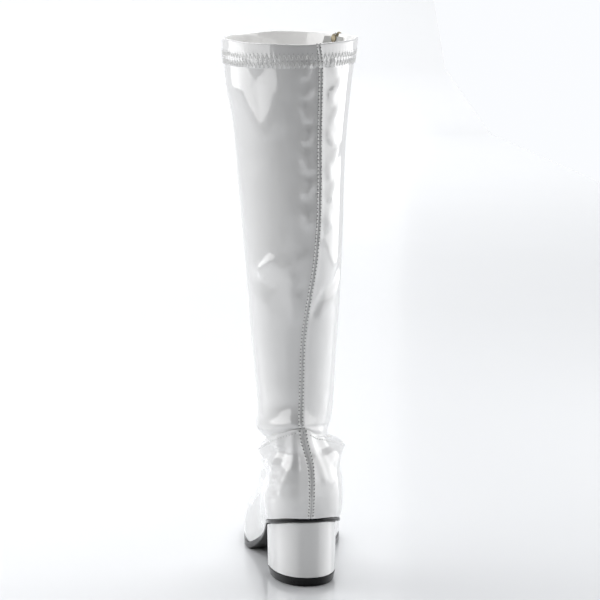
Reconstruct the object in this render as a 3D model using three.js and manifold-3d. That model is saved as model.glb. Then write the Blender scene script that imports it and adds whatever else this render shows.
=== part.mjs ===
// A knee-high go go boot for the left foot, in millimetres: a stretch patent upper on a low block heel.
// +Z is up and the toe points along -Y, so the wearer's outer side is +X and the inner side is -X.
// The origin is on the floor, under the middle of the heel's tread.
import * as THREE from "three";
import { mergeVertices } from "three/addons/utils/BufferGeometryUtils.js";
import Module from "manifold-3d";

const wasm = await Module();
wasm.setup();

// Foot and last
const lastLength = 246; // heel back to toe tip, along the floor
const ballWidth = 82;
const toeSwing = 11; // how far the toe turns towards the inner side
const seatHeight = 57; // floor to the top of the outsole under the heel
const counterHeight = 73.5; // heel seat to the ankle seam, at the back
const instepHeight = 113; // floor to the ankle seam, at the front

// Shaft
const bootHeight = 449;
const collarWidth = 110;
const collarDepth = 117;
const shaftSetback = 13; // how far the shaft's middle stands in front of the heel block's middle
const shaftLean = 11; // towards the outer side, at the calf
const collarTip = 1.9; // how much lower the collar stands on the outer side than on the inner side
const shaftTwist = 16; // degrees that the back seam wanders inwards, at the calf

// Walls and clearances
const wall = 1.8;
const hemHeight = 20; // the folded and stitched band under the collar's edge
const hemStep = 0.7;
const seamStep = 0.8; // the foot part stands proud of the shaft at the ankle seam
const lastingMargin = 9; // the upper's edge, turned in under the insole
const gap = 0.3;

// Sole and heel
const foreThickness = 5.5;
const seatThickness = 3;
const toeSpring = 6.5;
const soleEdge = 1.2; // how far the forepart's edge stands out past the upper
const seatEdge = 0.2; // and the seat's
const topBevel = 0.6;
const insoleThickness = 2.2;
const insoleClearance = 1.2; // at its sides, inside the upper
const heelWidth = 55.5;
const heelDepth = 54;
const heelInset = 2.2; // the block's back, in from the seat's
const heelTaper = 0.5; // further in at the tread, all round
const heelRoundness = 2.24; // of the D shape's back, where 2 is an ellipse
const liftThickness = 7.2;
const liftDraw = 1.4; // the top piece draws in towards the floor
const treadBevel = 1;

// Inner-side zip
const zipPlace = 56; // from the heel's back, at the lower end
const zipPlaceTop = 62; // and at the collar
const zipSlot = 6.4;
const chainWidth = 5.2;
const chainDepth = 2.2;
const tapeWidth = 24;
const tapeThickness = 0.9;
const sliderDrop = 11; // collar's edge to the slider's middle
const sliderLength = 12;
const sliderWidth = 8;
const sliderPlate = 1.6;
const bailWidth = 2.2;
const bailLength = 8;
const bailHeight = 3.2;
const bailWire = 0.9;
const bailRoot = 0.2; // how far the bail's ends sink into the plate
const pullLength = 30;
const pullWidth = 5.6;
const pullThickness = 1.4;
const pullPlay = 0.4;
const pullFrame = 5.2; // hinge to the tab's solid part
const pullBar = 0.62; // radius
const pullHole = 1.3; // radius
const pullHoleMargin = 3.5; // hole's middle to the tab's end

const heelBack = heelDepth / 2 + heelInset; // the seat's back edge, on the Y axis
const sides = 52; // columns round the boot
const shareOfFoot = (distance) => distance / lastLength;

// The outsole's underside, by share of the foot from the heel: rise is a share of the seat's own height.
const soleProfile = [
  { at: 0, rise: 1 },
  { at: 0.1, rise: 0.912 },
  { at: 0.2, rise: 0.812 },
  { at: 0.3, rise: 0.655 },
  { at: 0.4, rise: 0.44 },
  { at: 0.5, rise: 0.2 },
  { at: 0.57, rise: 0.06 },
  { at: 0.62, rise: 0 },
  { at: 0.78, rise: 0 },
];

// Level loops round the foot part, from the sole's edge to the ankle seam. back and front are shares of
// the last's length from the heel, backRise of the counter's height above the seat, and frontRise of
// the instep's height above the floor. heel, waist, ball and toe are half breadths, as shares of the
// ball's width. follow is how far a loop keeps to the sole's curve, and the caps are its round ends.
const footLoops = [
  { back: 0.0, backRise: 0.0, front: 1.0, frontRise: 0.107, follow: 1.0,
    heel: 0.366, waist: 0.352, ball: 0.495, toe: 0.41, backCap: 0.19, frontCap: 0.17 },
  { back: -0.007, backRise: 0.11, front: 1.004, frontRise: 0.172, follow: 0.97,
    heel: 0.376, waist: 0.362, ball: 0.502, toe: 0.42, backCap: 0.192, frontCap: 0.17 },
  { back: -0.012, backRise: 0.24, front: 0.994, frontRise: 0.25, follow: 0.88,
    heel: 0.382, waist: 0.36, ball: 0.48, toe: 0.4, backCap: 0.195, frontCap: 0.185 },
  { back: -0.012, backRise: 0.36, front: 0.96, frontRise: 0.325, follow: 0.72,
    heel: 0.378, waist: 0.35, ball: 0.428, toe: 0.37, backCap: 0.2, frontCap: 0.22 },
  { back: -0.008, backRise: 0.48, front: 0.882, frontRise: 0.39, follow: 0.52,
    heel: 0.372, waist: 0.34, ball: 0.357, toe: 0.33, backCap: 0.21, frontCap: 0.29 },
  { back: -0.001, backRise: 0.6, front: 0.768, frontRise: 0.478, follow: 0.32,
    heel: 0.355, waist: 0.33, ball: 0.315, toe: 0.31, backCap: 0.235, frontCap: 0.37 },
  { back: 0.007, backRise: 0.72, front: 0.646, frontRise: 0.605, follow: 0.16,
    heel: 0.342, waist: 0.33, ball: 0.312, toe: 0.31, backCap: 0.28, frontCap: 0.45 },
  { back: 0.015, backRise: 0.84, front: 0.53, frontRise: 0.785, follow: 0.05,
    heel: 0.336, waist: 0.336, ball: 0.332, toe: 0.33, backCap: 0.36, frontCap: 0.5 },
  { back: 0.022, backRise: 1.0, front: 0.44, frontRise: 1.0, follow: 0.0,
    heel: 0.354, waist: 0.36, ball: 0.356, toe: 0.35, backCap: 0.5, frontCap: 0.5 },
];

// Level loops up the shaft: backUp and frontUp are shares of the way from the ankle seam to the collar,
// middle is the section's offset behind the shaft's middle as a share of the collar's depth, width and
// depth are shares of the collar's, and lean and turn are shares of the whole lean and twist.
const shaftLoops = [
  { backUp: 0.017, frontUp: 0.027, middle: -0.076, depth: 0.79, width: 0.541, lean: 0.57, turn: -0.09 },
  { backUp: 0.061, frontUp: 0.094, middle: -0.066, depth: 0.748, width: 0.558, lean: 0.51, turn: -0.11 },
  { backUp: 0.140, frontUp: 0.180, middle: -0.055, depth: 0.745, width: 0.598, lean: 0.545, turn: -0.04 },
  { backUp: 0.225, frontUp: 0.265, middle: -0.04, depth: 0.768, width: 0.638, lean: 0.6, turn: 0.05 },
  { backUp: 0.316, frontUp: 0.352, middle: -0.017, depth: 0.815, width: 0.668, lean: 0.64, turn: 0.3 },
  { backUp: 0.422, frontUp: 0.452, middle: 0.0, depth: 0.872, width: 0.688, lean: 0.74, turn: 0.69 },
  { backUp: 0.528, frontUp: 0.552, middle: 0.008, depth: 0.92, width: 0.711, lean: 0.83, turn: 0.89 },
  { backUp: 0.633, frontUp: 0.653, middle: 0.01, depth: 0.95, width: 0.741, lean: 0.94, turn: 0.98 },
  { backUp: 0.739, frontUp: 0.753, middle: 0.008, depth: 0.968, width: 0.789, lean: 1.0, turn: 1.0 },
  { backUp: 0.838, frontUp: 0.846, middle: 0.004, depth: 0.978, width: 0.857, lean: 1.01, turn: 1.03 },
  { backUp: 0.922, frontUp: 0.928, middle: 0.002, depth: 0.99, width: 0.934, lean: 1.03, turn: 1.04 },
  { backUp: 0.979, frontUp: 0.989, middle: 0.0, depth: 1.0, width: 0.975, lean: 0.95, turn: 0.85 },
];

// Main folds of the empty leg: height is a share of the ankle seam's height at the back, side is degrees
// round from the back towards the inner side, reach and spread are the fold's half height and half width
// in the same units, and rise is its push outwards as a share of the ball's width.
const folds = [
  { height: 0.795, side: 92, reach: 0.055, spread: 44, rise: 0.18 },
  { height: 0.835, side: 92, reach: 0.03, spread: 42, rise: 0.02 },
  { height: 0.7, side: 92, reach: 0.04, spread: 42, rise: -0.035 },
  { height: 0.89, side: -88, reach: 0.12, spread: 48, rise: -0.028 },
  { height: 0.79, side: -88, reach: 0.035, spread: 48, rise: -0.035 },
  { height: 0.61, side: -88, reach: 0.05, spread: 48, rise: -0.045 },
  { height: 0.922, side: 110, reach: 0.041, spread: 60, rise: -0.03 },
  { height: 0.985, side: -85, reach: 0.035, spread: 60, rise: 0.02 },
  { height: 0.843, side: -90, reach: 0.031, spread: 55, rise: -0.085 },
  { height: 0.764, side: -90, reach: 0.034, spread: 45, rise: 0.016 },
  { height: 0.695, side: -85, reach: 0.034, spread: 45, rise: -0.034 },
];
const ankleHeight = seatHeight + counterHeight;

const clamp = (value, low, high) => Math.min(high, Math.max(low, value));
const smooth = (x) => {
  const share = clamp(x, 0, 1);
  return share * share * (3 - 2 * share);
};
const mix = (a, b, share) => a + (b - a) * share;

// A cubic curve through one column of a table, between its rows at and at + 1.
function alongRows(rows, column, place) {
  const last = rows.length - 1;
  const low = clamp(Math.floor(place), 0, last - 1);
  const t = place - low;
  const value = (i) => rows[clamp(i, 0, last)][column];
  const [a, b, c, d] = [value(low - 1), value(low), value(low + 1), value(low + 2)];
  return 0.5 * (2 * b + (c - a) * t + (2 * a - 5 * b + 4 * c - d) * t * t + (3 * b - a - 3 * c + d) * t ** 3);
}

// Heights of the outsole's underside and top at a share of the foot from the heel.
const flatEnd = soleProfile[soleProfile.length - 1].at;
const flatStart = soleProfile[soleProfile.length - 2].at;
function soleUnder(share) {
  if (share > flatEnd) return toeSpring * ((share - flatEnd) / (1 - flatEnd)) ** 2;
  const seat = seatHeight - seatThickness;
  if (share >= flatStart) return 0;
  const points = soleProfile.map((row) => new THREE.Vector2(row.at, row.rise));
  return seat * Math.max(0, heightOn(points, share));
}
function heightOn(points, share) {
  const at = clamp(points.findIndex((p) => p.x > share) - 1, 0, points.length - 2);
  const point = (i) => points[clamp(i, 0, points.length - 1)];
  const [a, b, c, d] = [point(at - 1), point(at), point(at + 1), point(at + 2)];
  const t = clamp((share - b.x) / (c.x - b.x), 0, 1);
  const step = c.x - b.x;
  const slopeB = b === a ? 0 : ((c.y - a.y) / (c.x - a.x)) * step;
  const slopeC = c === d ? 0 : ((d.y - b.y) / (d.x - b.x)) * step;
  return (2 * t ** 3 - 3 * t * t + 1) * b.y + (t ** 3 - 2 * t * t + t) * slopeB
    + (3 * t * t - 2 * t ** 3) * c.y + (t ** 3 - t * t) * slopeC;
}
const foreShare = (share) => smooth((share - 0.33) / 0.25); // 0 at the seat and 1 at the forepart
const soleThickness = (share) => mix(seatThickness, foreThickness, foreShare(share));
const soleTop = (share) => soleUnder(share) + soleThickness(share);

// The middle line's turn towards the inner side, by share of the foot.
const middleLine = (share) => -toeSwing * smooth((share - 0.12) / 0.76);

// One row for every loop of the upper, in millimetres, foot part first.
const shaftBack = heelBack + shaftSetback; // the shaft's middle, measured from the seat's back edge
const loops = [
  ...footLoops.map((row) => ({
    back: row.back * lastLength,
    backZ: seatHeight + gap + row.backRise * counterHeight,
    front: row.front * lastLength,
    frontZ: row === footLoops[0] ? soleTop(1) + gap : row.frontRise * instepHeight,
    follow: row.follow,
    heel: row.heel * ballWidth,
    waist: row.waist * ballWidth,
    ball: row.ball * ballWidth,
    toe: row.toe * ballWidth,
    backCap: row.backCap,
    frontCap: row.frontCap,
    turn: 0,
    lean: shaftLean * shaftLoops[0].lean * smooth(2 * row.backRise - 1),
  })),
  ...shaftLoops.map((row) => ({
    back: shaftBack - (row.middle + row.depth / 2) * collarDepth,
    backZ: mix(ankleHeight, bootHeight, row.backUp),
    front: shaftBack - (row.middle - row.depth / 2) * collarDepth,
    frontZ: mix(instepHeight, bootHeight, row.frontUp),
    follow: 0,
    heel: (row.width / 2) * collarWidth,
    waist: (row.width / 2) * collarWidth,
    ball: (row.width / 2) * collarWidth,
    toe: (row.width / 2) * collarWidth,
    backCap: 0.5,
    frontCap: 0.5,
    turn: THREE.MathUtils.degToRad(row.turn * shaftTwist),
    lean: shaftLean * row.lean,
  })),
];
const seamRow = footLoops.length - 1;
const collarRow = loops.length - 1;

// Half breadth of a loop at share s from its back, on the inner (-1) or outer (+1) side.
const stations = { heel: 0.14, waist: 0.44, ball: 0.7, toe: 0.92, tip: 1.01 };
const ballSkew = 0.03; // the inner ball joint stands further forward than the outer one
const archCut = 0.07; // the waist is cut in further on the inner side
const roundEnd = 2; // an ellipse at the shaft
const squareEnd = 0.35; // and a little squarer at the sole
function halfBreadth(row, s, side) {
  const shift = -side * ballSkew * row.follow;
  const waist = row.waist * (side < 0 ? 1 - archCut * row.follow : 1);
  const body = [
    new THREE.Vector2(0, row.heel),
    new THREE.Vector2(stations.heel, row.heel),
    new THREE.Vector2(stations.waist, waist),
    new THREE.Vector2(stations.ball + shift, row.ball),
    new THREE.Vector2(stations.toe, row.toe),
    new THREE.Vector2(stations.tip, row.toe),
  ];
  const roundness = roundEnd + squareEnd * row.follow;
  const cap = (reach) => (reach >= 1 ? 1 : (1 - (1 - reach) ** roundness) ** (1 / roundness));
  return heightOn(body, s) * cap(clamp(s / row.backCap, 0, 1)) * cap(clamp((1 - s) / row.frontCap, 0, 1));
}

// Shares from the back for an angle round the boot: 0 at the front, 180 at the back, inner side first.
const shareAt = (angle) => (1 + Math.cos(angle)) / 2;
const sideAt = (angle) => (Math.sin(angle) >= 0 ? -1 : 1);

const rowAt = (place) => Object.fromEntries(
  Object.keys(loops[0]).map((column) => [column, alongRows(loops, column, place)]));

// A point of the bare last at a place in the loop table and an angle round the boot.
function lastPoint(place, angle) {
  const row = rowAt(place);
  const s = shareAt(angle);
  const side = sideAt(angle);
  const distance = mix(row.back, row.front, s);
  const foot = clamp(shareOfFoot(distance), 0, 1);
  const straight = mix(seatHeight, soleTop(1), foot);
  const shaft = clamp((row.backZ - seatHeight) / (bootHeight - seatHeight), 0, 1);
  const x = side * halfBreadth(row, s, side);
  const z = mix(row.backZ, row.frontZ, s) + row.follow * (soleTop(foot) - straight)
    - shaft * collarTip * (x / collarWidth);
  const middle = mix(row.back, row.front, 0.5);
  const along = distance - middle;
  return new THREE.Vector3(
    x * Math.cos(row.turn) + along * Math.sin(row.turn) + middleLine(foot) * row.follow + row.lean,
    heelBack - middle - along * Math.cos(row.turn) + x * Math.sin(row.turn),
    z,
  );
}

const nudge = 0.005; // radians round the boot
const rowNudge = 0.02; // rows of the loop table
function outward(place, angle) {
  const low = Math.max(0, place - rowNudge);
  const high = Math.min(collarRow, place + rowNudge);
  const up = lastPoint(high, angle).sub(lastPoint(low, angle));
  const round = lastPoint(place, angle + nudge).sub(lastPoint(place, angle - nudge));
  return up.cross(round).normalize();
}

// Steps and folds of the outer face, on top of the last.
const hemRamp = 1.2; // height of the step up to the hem
const hemAt = bootHeight - hemHeight;
const wrap = (angle) => Math.atan2(Math.sin(angle), Math.cos(angle));
function relief(place, angle, point) {
  const hem = hemStep * smooth((point.z - hemAt) / hemRamp + 0.5);
  const foot = place <= seamRow ? seamStep * smooth(place) : 0;
  const fromBack = THREE.MathUtils.radToDeg(Math.PI - Math.abs(wrap(angle))) * (sideAt(angle) < 0 ? 1 : -1);
  const pushed = folds.reduce((sum, fold) => {
    const up = (point.z / ankleHeight - fold.height) / fold.reach;
    const round = (fromBack - fold.side) / fold.spread;
    return sum + fold.rise * ballWidth * Math.exp(-up * up - round * round);
  }, 0);
  return hem + foot + pushed;
}

// A point of the upper, depth millimetres inside its outer face.
function upperPoint(place, angle, depth = 0) {
  const point = lastPoint(place, angle);
  const lift = relief(place, angle, point);
  return point.addScaledVector(outward(place, angle), lift - depth);
}

// Solids from closed loops of points
function geometryOf(points, triangles) {
  const geometry = new THREE.BufferGeometry().setFromPoints(points);
  geometry.setIndex(triangles);
  return geometry;
}

// Joins a list of equal loops by bands; closed returns the last loop to the first, and open ends are capped
// by rungs between the points that face each other.
function loopSolid(rings, closed = false) {
  const count = rings[0].length;
  const triangles = [];
  const bands = closed ? rings.length : rings.length - 1;
  for (let j = 0; j < bands; j += 1) {
    const next = (j + 1) % rings.length;
    for (let i = 0; i < count; i += 1) {
      const k = (i + 1) % count;
      const [a, b, c, d] = [j * count + i, j * count + k, next * count + k, next * count + i];
      triangles.push(a, c, b, a, d, c);
    }
  }
  if (!closed) {
    const top = (rings.length - 1) * count;
    for (let i = 0; i < count / 2; i += 1) {
      const rung = [i, i + 1, (count - i - 1) % count, (count - i) % count];
      const faces = [[rung[0], rung[1], rung[2]], [rung[0], rung[2], rung[3]]];
      faces.filter((face) => new Set(face).size === 3).forEach(([a, b, c]) => {
        triangles.push(a, b, c, top + a, top + c, top + b);
      });
    }
  }
  return geometryOf(rings.flat(), triangles);
}

function toSolid(geometry) {
  const bare = geometry.index ? geometry.toNonIndexed() : geometry.clone();
  bare.deleteAttribute("normal");
  bare.deleteAttribute("uv");
  const merged = mergeVertices(bare, 1e-4);
  return new wasm.Manifold(new wasm.Mesh({
    numProp: 3,
    vertProperties: merged.attributes.position.array,
    triVerts: new Uint32Array(merged.index.array),
  }));
}

function toGeometry(solid) {
  const mesh = solid.getMesh();
  const geometry = new THREE.BufferGeometry();
  geometry.setAttribute("position", new THREE.BufferAttribute(mesh.vertProperties, 3));
  geometry.setIndex(new THREE.BufferAttribute(mesh.triVerts, 1));
  return geometry;
}

const angles = Array.from({ length: sides }, (_, i) => (i / sides) * 2 * Math.PI);

// Upper: places of its loops, with close pairs where the wall steps
const stepPlace = (height) => {
  let [low, high] = [seamRow, collarRow];
  for (let i = 0; i < 40; i += 1) {
    const middle = (low + high) / 2;
    if (rowAt(middle).backZ < height) low = middle;
    else high = middle;
  }
  return low;
};
const between = (from, to, count) => Array.from({ length: count }, (_, i) => mix(from, to, i / count));
const hemLow = stepPlace(hemAt - hemRamp / 2);
const hemHigh = stepPlace(hemAt + hemRamp / 2);
const places = [
  ...between(0, seamRow - 2, 11),
  ...between(seamRow - 2, seamRow, 6),
  seamRow,
  ...between(seamRow + 0.04, seamRow + 2, 6),
  ...between(seamRow + 2, hemLow, 10),
  hemLow,
  hemHigh,
  collarRow,
];

// The upper's edge under the insole, inset millimetres in from the sole's edge and depth above it.
const marginEnds = { heel: 0.12, toe: 0.84 }; // the middle line's ends that the margin is turned in towards
function turnedIn(depth, inset) {
  return angles.map((angle) => {
    const edge = lastPoint(0, angle);
    const share = clamp(shareOfFoot(heelBack - edge.y), marginEnds.heel, marginEnds.toe);
    const centre = new THREE.Vector3(middleLine(share), heelBack - share * lastLength, edge.z);
    const inwards = centre.sub(edge).setZ(0);
    const moved = edge.addScaledVector(inwards.normalize(), inset);
    const foot = clamp(shareOfFoot(heelBack - moved.y), 0, 1);
    return moved.setZ(soleTop(foot) + gap + depth);
  });
}

function makeUpper() {
  const outer = places.map((place) => angles.map((angle) => upperPoint(place, angle)));
  const inner = places.slice(1).map((place) => angles.map((angle) => upperPoint(place, angle, wall)));
  const rings = [
    turnedIn(0, lastingMargin), ...outer, ...inner.reverse(), turnedIn(wall, wall + gap), turnedIn(wall, lastingMargin),
  ];
  return loopSolid(rings, true);
}

// Zip on the inner side
const zipStart = seamRow + 1.3; // just above the ankle seam, in rows of the loop table
const zipPlaces = [zipStart, ...places.filter((place) => place > zipStart + 0.2)];
function zipAngle(place, sideways = 0) {
  const row = rowAt(place);
  const up = (place - zipStart) / (collarRow - zipStart);
  const share = (mix(zipPlace, zipPlaceTop, smooth(up)) - row.back) / (row.front - row.back);
  const angle = Math.acos(clamp(2 * share - 1, -1, 1));
  const pace = lastPoint(place, angle + nudge).distanceTo(lastPoint(place, angle - nudge)) / (2 * nudge);
  return angle + sideways / pace;
}
// A strip that follows the wall: half its width, and the depths of its two faces inside the wall's own.
function zipStrip(half, top, bottom, stops) {
  const outline = [
    [0, top], [half, top], [half, bottom], [0, bottom], [-half, bottom], [-half, top],
  ];
  return stops.map((place) => outline.map(
    ([sideways, depth]) => upperPoint(place, zipAngle(place, sideways), depth)));
}

const cutterReach = 6; // past the wall's faces and the collar
function makeZipCutter() {
  const rings = zipStrip(zipSlot / 2, -cutterReach, wall + cutterReach, zipPlaces);
  rings.push(rings[rings.length - 1].map((point) => point.clone().setZ(point.z + cutterReach)));
  return loopSolid(rings);
}

function makeZip() {
  const [firstShare, topDrop] = [0.3, 0.06]; // the chain's ends, in rows in from the slot's
  const stops = [mix(zipStart, zipPlaces[1], firstShare), ...zipPlaces.slice(1, -1), collarRow - topDrop];
  const under = wall + 2 * gap;
  const chain = zipStrip(chainWidth / 2, under - chainDepth, under + tapeThickness / 2, stops);
  const tape = zipStrip(tapeWidth / 2, under, under + tapeThickness, stops);
  return toGeometry(toSolid(loopSolid(tape)).add(toSolid(loopSolid(chain))));
}

// Sole pieces share the outline of the upper's lowest loop.
function soleRing(edge, height) {
  return angles.map((angle) => {
    const row = rowAt(0);
    const s = shareAt(angle);
    const side = sideAt(angle);
    const grow = edge(s);
    const distance = mix(row.back - grow, row.front + grow, s);
    const foot = clamp(shareOfFoot(distance), 0, 1);
    const reach = Math.max(0, halfBreadth(row, s, side) + grow * Math.sqrt(Math.abs(Math.sin(angle))));
    return new THREE.Vector3(side * reach + middleLine(foot), heelBack - distance, height(foot));
  });
}

function makeOutsole() {
  const edge = (s) => mix(seatEdge, soleEdge, foreShare(s));
  return loopSolid([
    soleRing((s) => edge(s) - treadBevel, soleUnder),
    soleRing(edge, (foot) => soleUnder(foot) + treadBevel),
    soleRing(edge, (foot) => soleTop(foot) - topBevel),
    soleRing((s) => edge(s) - topBevel, soleTop),
  ]);
}

function makeInsole() {
  const base = gap + wall + gap;
  const inset = () => -(wall + insoleClearance);
  return loopSolid([
    soleRing(inset, (foot) => soleTop(foot) + base),
    soleRing(inset, (foot) => soleTop(foot) + base + insoleThickness),
  ]);
}

// Heel block and its top piece: a D with a flat breast.
function heelRing(inset, height) {
  const half = sides / 2;
  const corner = 2;
  return angles.map((_, i) => {
    const step = Math.min(i, sides - i);
    const turn = clamp((step - corner) / (half - corner), 0, 1) * (Math.PI / 2);
    const reach = Math.cos(turn) ** (2 / heelRoundness) * Math.min(1, step / corner);
    const run = 1 - Math.sin(turn) ** (2 / heelRoundness);
    const x = (i <= half ? -1 : 1) * reach * (heelWidth / 2 - inset);
    const y = heelDepth / 2 - inset - run * (heelDepth - 2 * inset);
    return new THREE.Vector3(x, y, height(shareOfFoot(heelBack - y)));
  });
}

function makeHeel() {
  return loopSolid([
    heelRing(heelTaper, () => liftThickness + gap),
    heelRing(0, (foot) => soleUnder(foot) - gap),
  ]);
}

function makeHeelLift() {
  return loopSolid([
    heelRing(heelTaper + liftDraw + treadBevel, () => 0),
    heelRing(heelTaper + liftDraw, () => treadBevel),
    heelRing(heelTaper, () => liftThickness),
  ]);
}

// Slider and pull, in a frame on the zip: x outwards, y along the wall towards the toe side, z up the zip
function sliderPlace() {
  const place = stepPlace(bootHeight - sliderDrop);
  const angle = zipAngle(place);
  const at = upperPoint(place, angle);
  const face = outward(place, angle);
  const alongWall = new THREE.Vector3(-face.y, face.x, 0).normalize();
  const up = new THREE.Vector3().crossVectors(face, alongWall).normalize();
  return { at, face, alongWall, up };
}

function box(width, depth, height, x, y, z) {
  return toSolid(new THREE.BoxGeometry(width, depth, height).translate(x, y, z));
}

const bailMiddle = gap + sliderPlate + (bailHeight - bailWire) / 2;
function makeSlider() {
  const plateMiddle = gap + sliderPlate / 2;
  const plate = new THREE.CylinderGeometry(sliderWidth / 2, sliderWidth / 2, sliderPlate, 24);
  plate.rotateZ(Math.PI / 2).scale(1, 1, sliderLength / sliderWidth).translate(plateMiddle, 0, 0);
  const base = plateMiddle + sliderPlate / 2;
  const post = (z) => box(bailHeight, bailWidth, bailWire, base + bailHeight / 2 - bailRoot, 0, z);
  const bridge = box(bailWire, bailWidth, bailLength, base + bailHeight - bailWire / 2 - bailRoot, 0, 0);
  const reach = (bailLength - bailWire) / 2;
  return toGeometry(toSolid(plate).add(post(reach)).add(post(-reach)).add(bridge));
}

function makePull() {
  const inside = bailWidth + 2 * pullPlay;
  const bar = toSolid(new THREE.CylinderGeometry(pullBar, pullBar, pullWidth, 12));
  const leg = (y) => box(pullThickness, (pullWidth - inside) / 2, pullFrame, 0, y, -pullFrame / 2);
  const reach = (pullWidth + inside) / 4;
  const tabHeight = pullLength - pullFrame;
  const tab = box(pullThickness, pullWidth, tabHeight, 0, 0, bailRoot / 2 - pullFrame - tabHeight / 2);
  const hole = toSolid(new THREE.CylinderGeometry(pullHole, pullHole, 2 * pullThickness, 16)
    .rotateZ(Math.PI / 2).translate(0, 0, pullHoleMargin - pullLength));
  return toGeometry(bar.add(leg(reach)).add(leg(-reach)).add(tab).subtract(hole));
}

// Finishes
const patent = new THREE.MeshStandardMaterial({ color: 0xf1f1f0, roughness: 0.08, metalness: 0 });
const soleBlack = new THREE.MeshStandardMaterial({ color: 0x16161a, roughness: 0.3, metalness: 0 });
const liftBlack = new THREE.MeshStandardMaterial({ color: 0x121214, roughness: 0.55, metalness: 0 });
const lining = new THREE.MeshStandardMaterial({ color: 0xe4e3df, roughness: 0.8, metalness: 0 });
const zipTape = new THREE.MeshStandardMaterial({ color: 0xeeeeea, roughness: 0.6, metalness: 0 });
const metal = new THREE.MeshStandardMaterial({ color: 0xb9b7ae, roughness: 0.3, metalness: 1 });

function addPiece(group, name, geometry, material) {
  const mesh = new THREE.Mesh(geometry, material);
  mesh.name = name;
  group.add(mesh);
  return mesh;
}

const boot = new THREE.Group();
addPiece(boot, "outsole", makeOutsole(), soleBlack);
addPiece(boot, "heel", makeHeel(), patent);
addPiece(boot, "heel_lift", makeHeelLift(), liftBlack);
addPiece(boot, "insole", makeInsole(), lining);
addPiece(boot, "upper", toGeometry(toSolid(makeUpper()).subtract(toSolid(makeZipCutter()))), patent);
addPiece(boot, "zip", makeZip(), zipTape);

const seat = sliderPlace();
const sliderFrame = new THREE.Group();
sliderFrame.applyMatrix4(new THREE.Matrix4().makeBasis(seat.face, seat.alongWall, seat.up)
  .setPosition(seat.at));
addPiece(sliderFrame, "zip_slider", makeSlider(), metal);
boot.add(sliderFrame);

const pullMount = new THREE.Group();
const faceLevel = seat.face.clone().setZ(0).normalize();
pullMount.applyMatrix4(new THREE.Matrix4()
  .makeBasis(faceLevel, seat.alongWall, new THREE.Vector3(0, 0, 1))
  .setPosition(seat.at.clone().addScaledVector(seat.face, bailMiddle)));
addPiece(pullMount, "zip_pull", makePull(), metal);
boot.add(pullMount);

export default boot;
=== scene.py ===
"""A knee-high go go boot in white stretch patent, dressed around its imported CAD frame.

Metres, with the CAD's own axes: Z is up, the toe points along -Y and the outer side is +X.
"""
import math

import bpy
import numpy as np
from mathutils import Matrix, Vector


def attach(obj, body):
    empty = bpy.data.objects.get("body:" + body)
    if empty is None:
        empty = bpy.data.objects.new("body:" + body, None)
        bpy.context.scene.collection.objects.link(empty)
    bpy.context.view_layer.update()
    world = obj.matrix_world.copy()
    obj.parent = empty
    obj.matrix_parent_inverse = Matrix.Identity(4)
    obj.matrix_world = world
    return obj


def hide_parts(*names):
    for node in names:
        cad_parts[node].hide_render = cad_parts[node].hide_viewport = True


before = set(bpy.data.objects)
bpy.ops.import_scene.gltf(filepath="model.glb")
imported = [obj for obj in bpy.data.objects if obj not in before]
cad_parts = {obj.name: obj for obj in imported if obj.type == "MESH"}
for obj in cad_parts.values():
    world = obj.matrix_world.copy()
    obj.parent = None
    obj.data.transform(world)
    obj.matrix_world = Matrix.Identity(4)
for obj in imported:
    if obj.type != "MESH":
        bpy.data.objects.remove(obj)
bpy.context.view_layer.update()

bl_info = {
    "name": "Go go boot",
    "version": (1, 0, 0),
    "blender": (4, 5, 0),
    "location": "View3D > Sidebar > Boot",
    "description": "Dresses the knee-high boot's CAD frame with its sewn, moulded and metal pieces",
    "category": "Add Mesh",
}

# Tables of the last and the shaft, as shares of their own lengths

SOLE_PROFILE = [
    (0.0, 1.0), (0.1, 0.912), (0.2, 0.812), (0.3, 0.655), (0.4, 0.44),
    (0.5, 0.2), (0.57, 0.06), (0.62, 0.0), (0.78, 0.0),
]
FOOT_COLUMNS = (
    "back", "back_rise", "front", "front_rise", "follow",
    "heel", "waist", "ball", "toe", "back_cap", "front_cap",
)
FOOT_LOOPS = [
    (0.0, 0.0, 1.0, 0.107, 1.0, 0.366, 0.352, 0.495, 0.41, 0.19, 0.17),
    (-0.007, 0.11, 1.004, 0.172, 0.97, 0.376, 0.362, 0.502, 0.42, 0.192, 0.17),
    (-0.012, 0.24, 0.994, 0.25, 0.88, 0.382, 0.36, 0.48, 0.4, 0.195, 0.185),
    (-0.012, 0.36, 0.96, 0.325, 0.72, 0.378, 0.35, 0.428, 0.37, 0.2, 0.22),
    (-0.008, 0.48, 0.882, 0.39, 0.52, 0.372, 0.34, 0.357, 0.33, 0.21, 0.29),
    (-0.001, 0.6, 0.768, 0.478, 0.32, 0.355, 0.33, 0.315, 0.31, 0.235, 0.37),
    (0.007, 0.72, 0.646, 0.605, 0.16, 0.342, 0.33, 0.312, 0.31, 0.28, 0.45),
    (0.015, 0.84, 0.53, 0.785, 0.05, 0.336, 0.336, 0.332, 0.33, 0.36, 0.5),
    (0.022, 1.0, 0.44, 1.0, 0.0, 0.354, 0.36, 0.356, 0.35, 0.5, 0.5),
]
SHAFT_COLUMNS = ("back_up", "front_up", "middle", "depth", "width", "lean", "turn")
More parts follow.
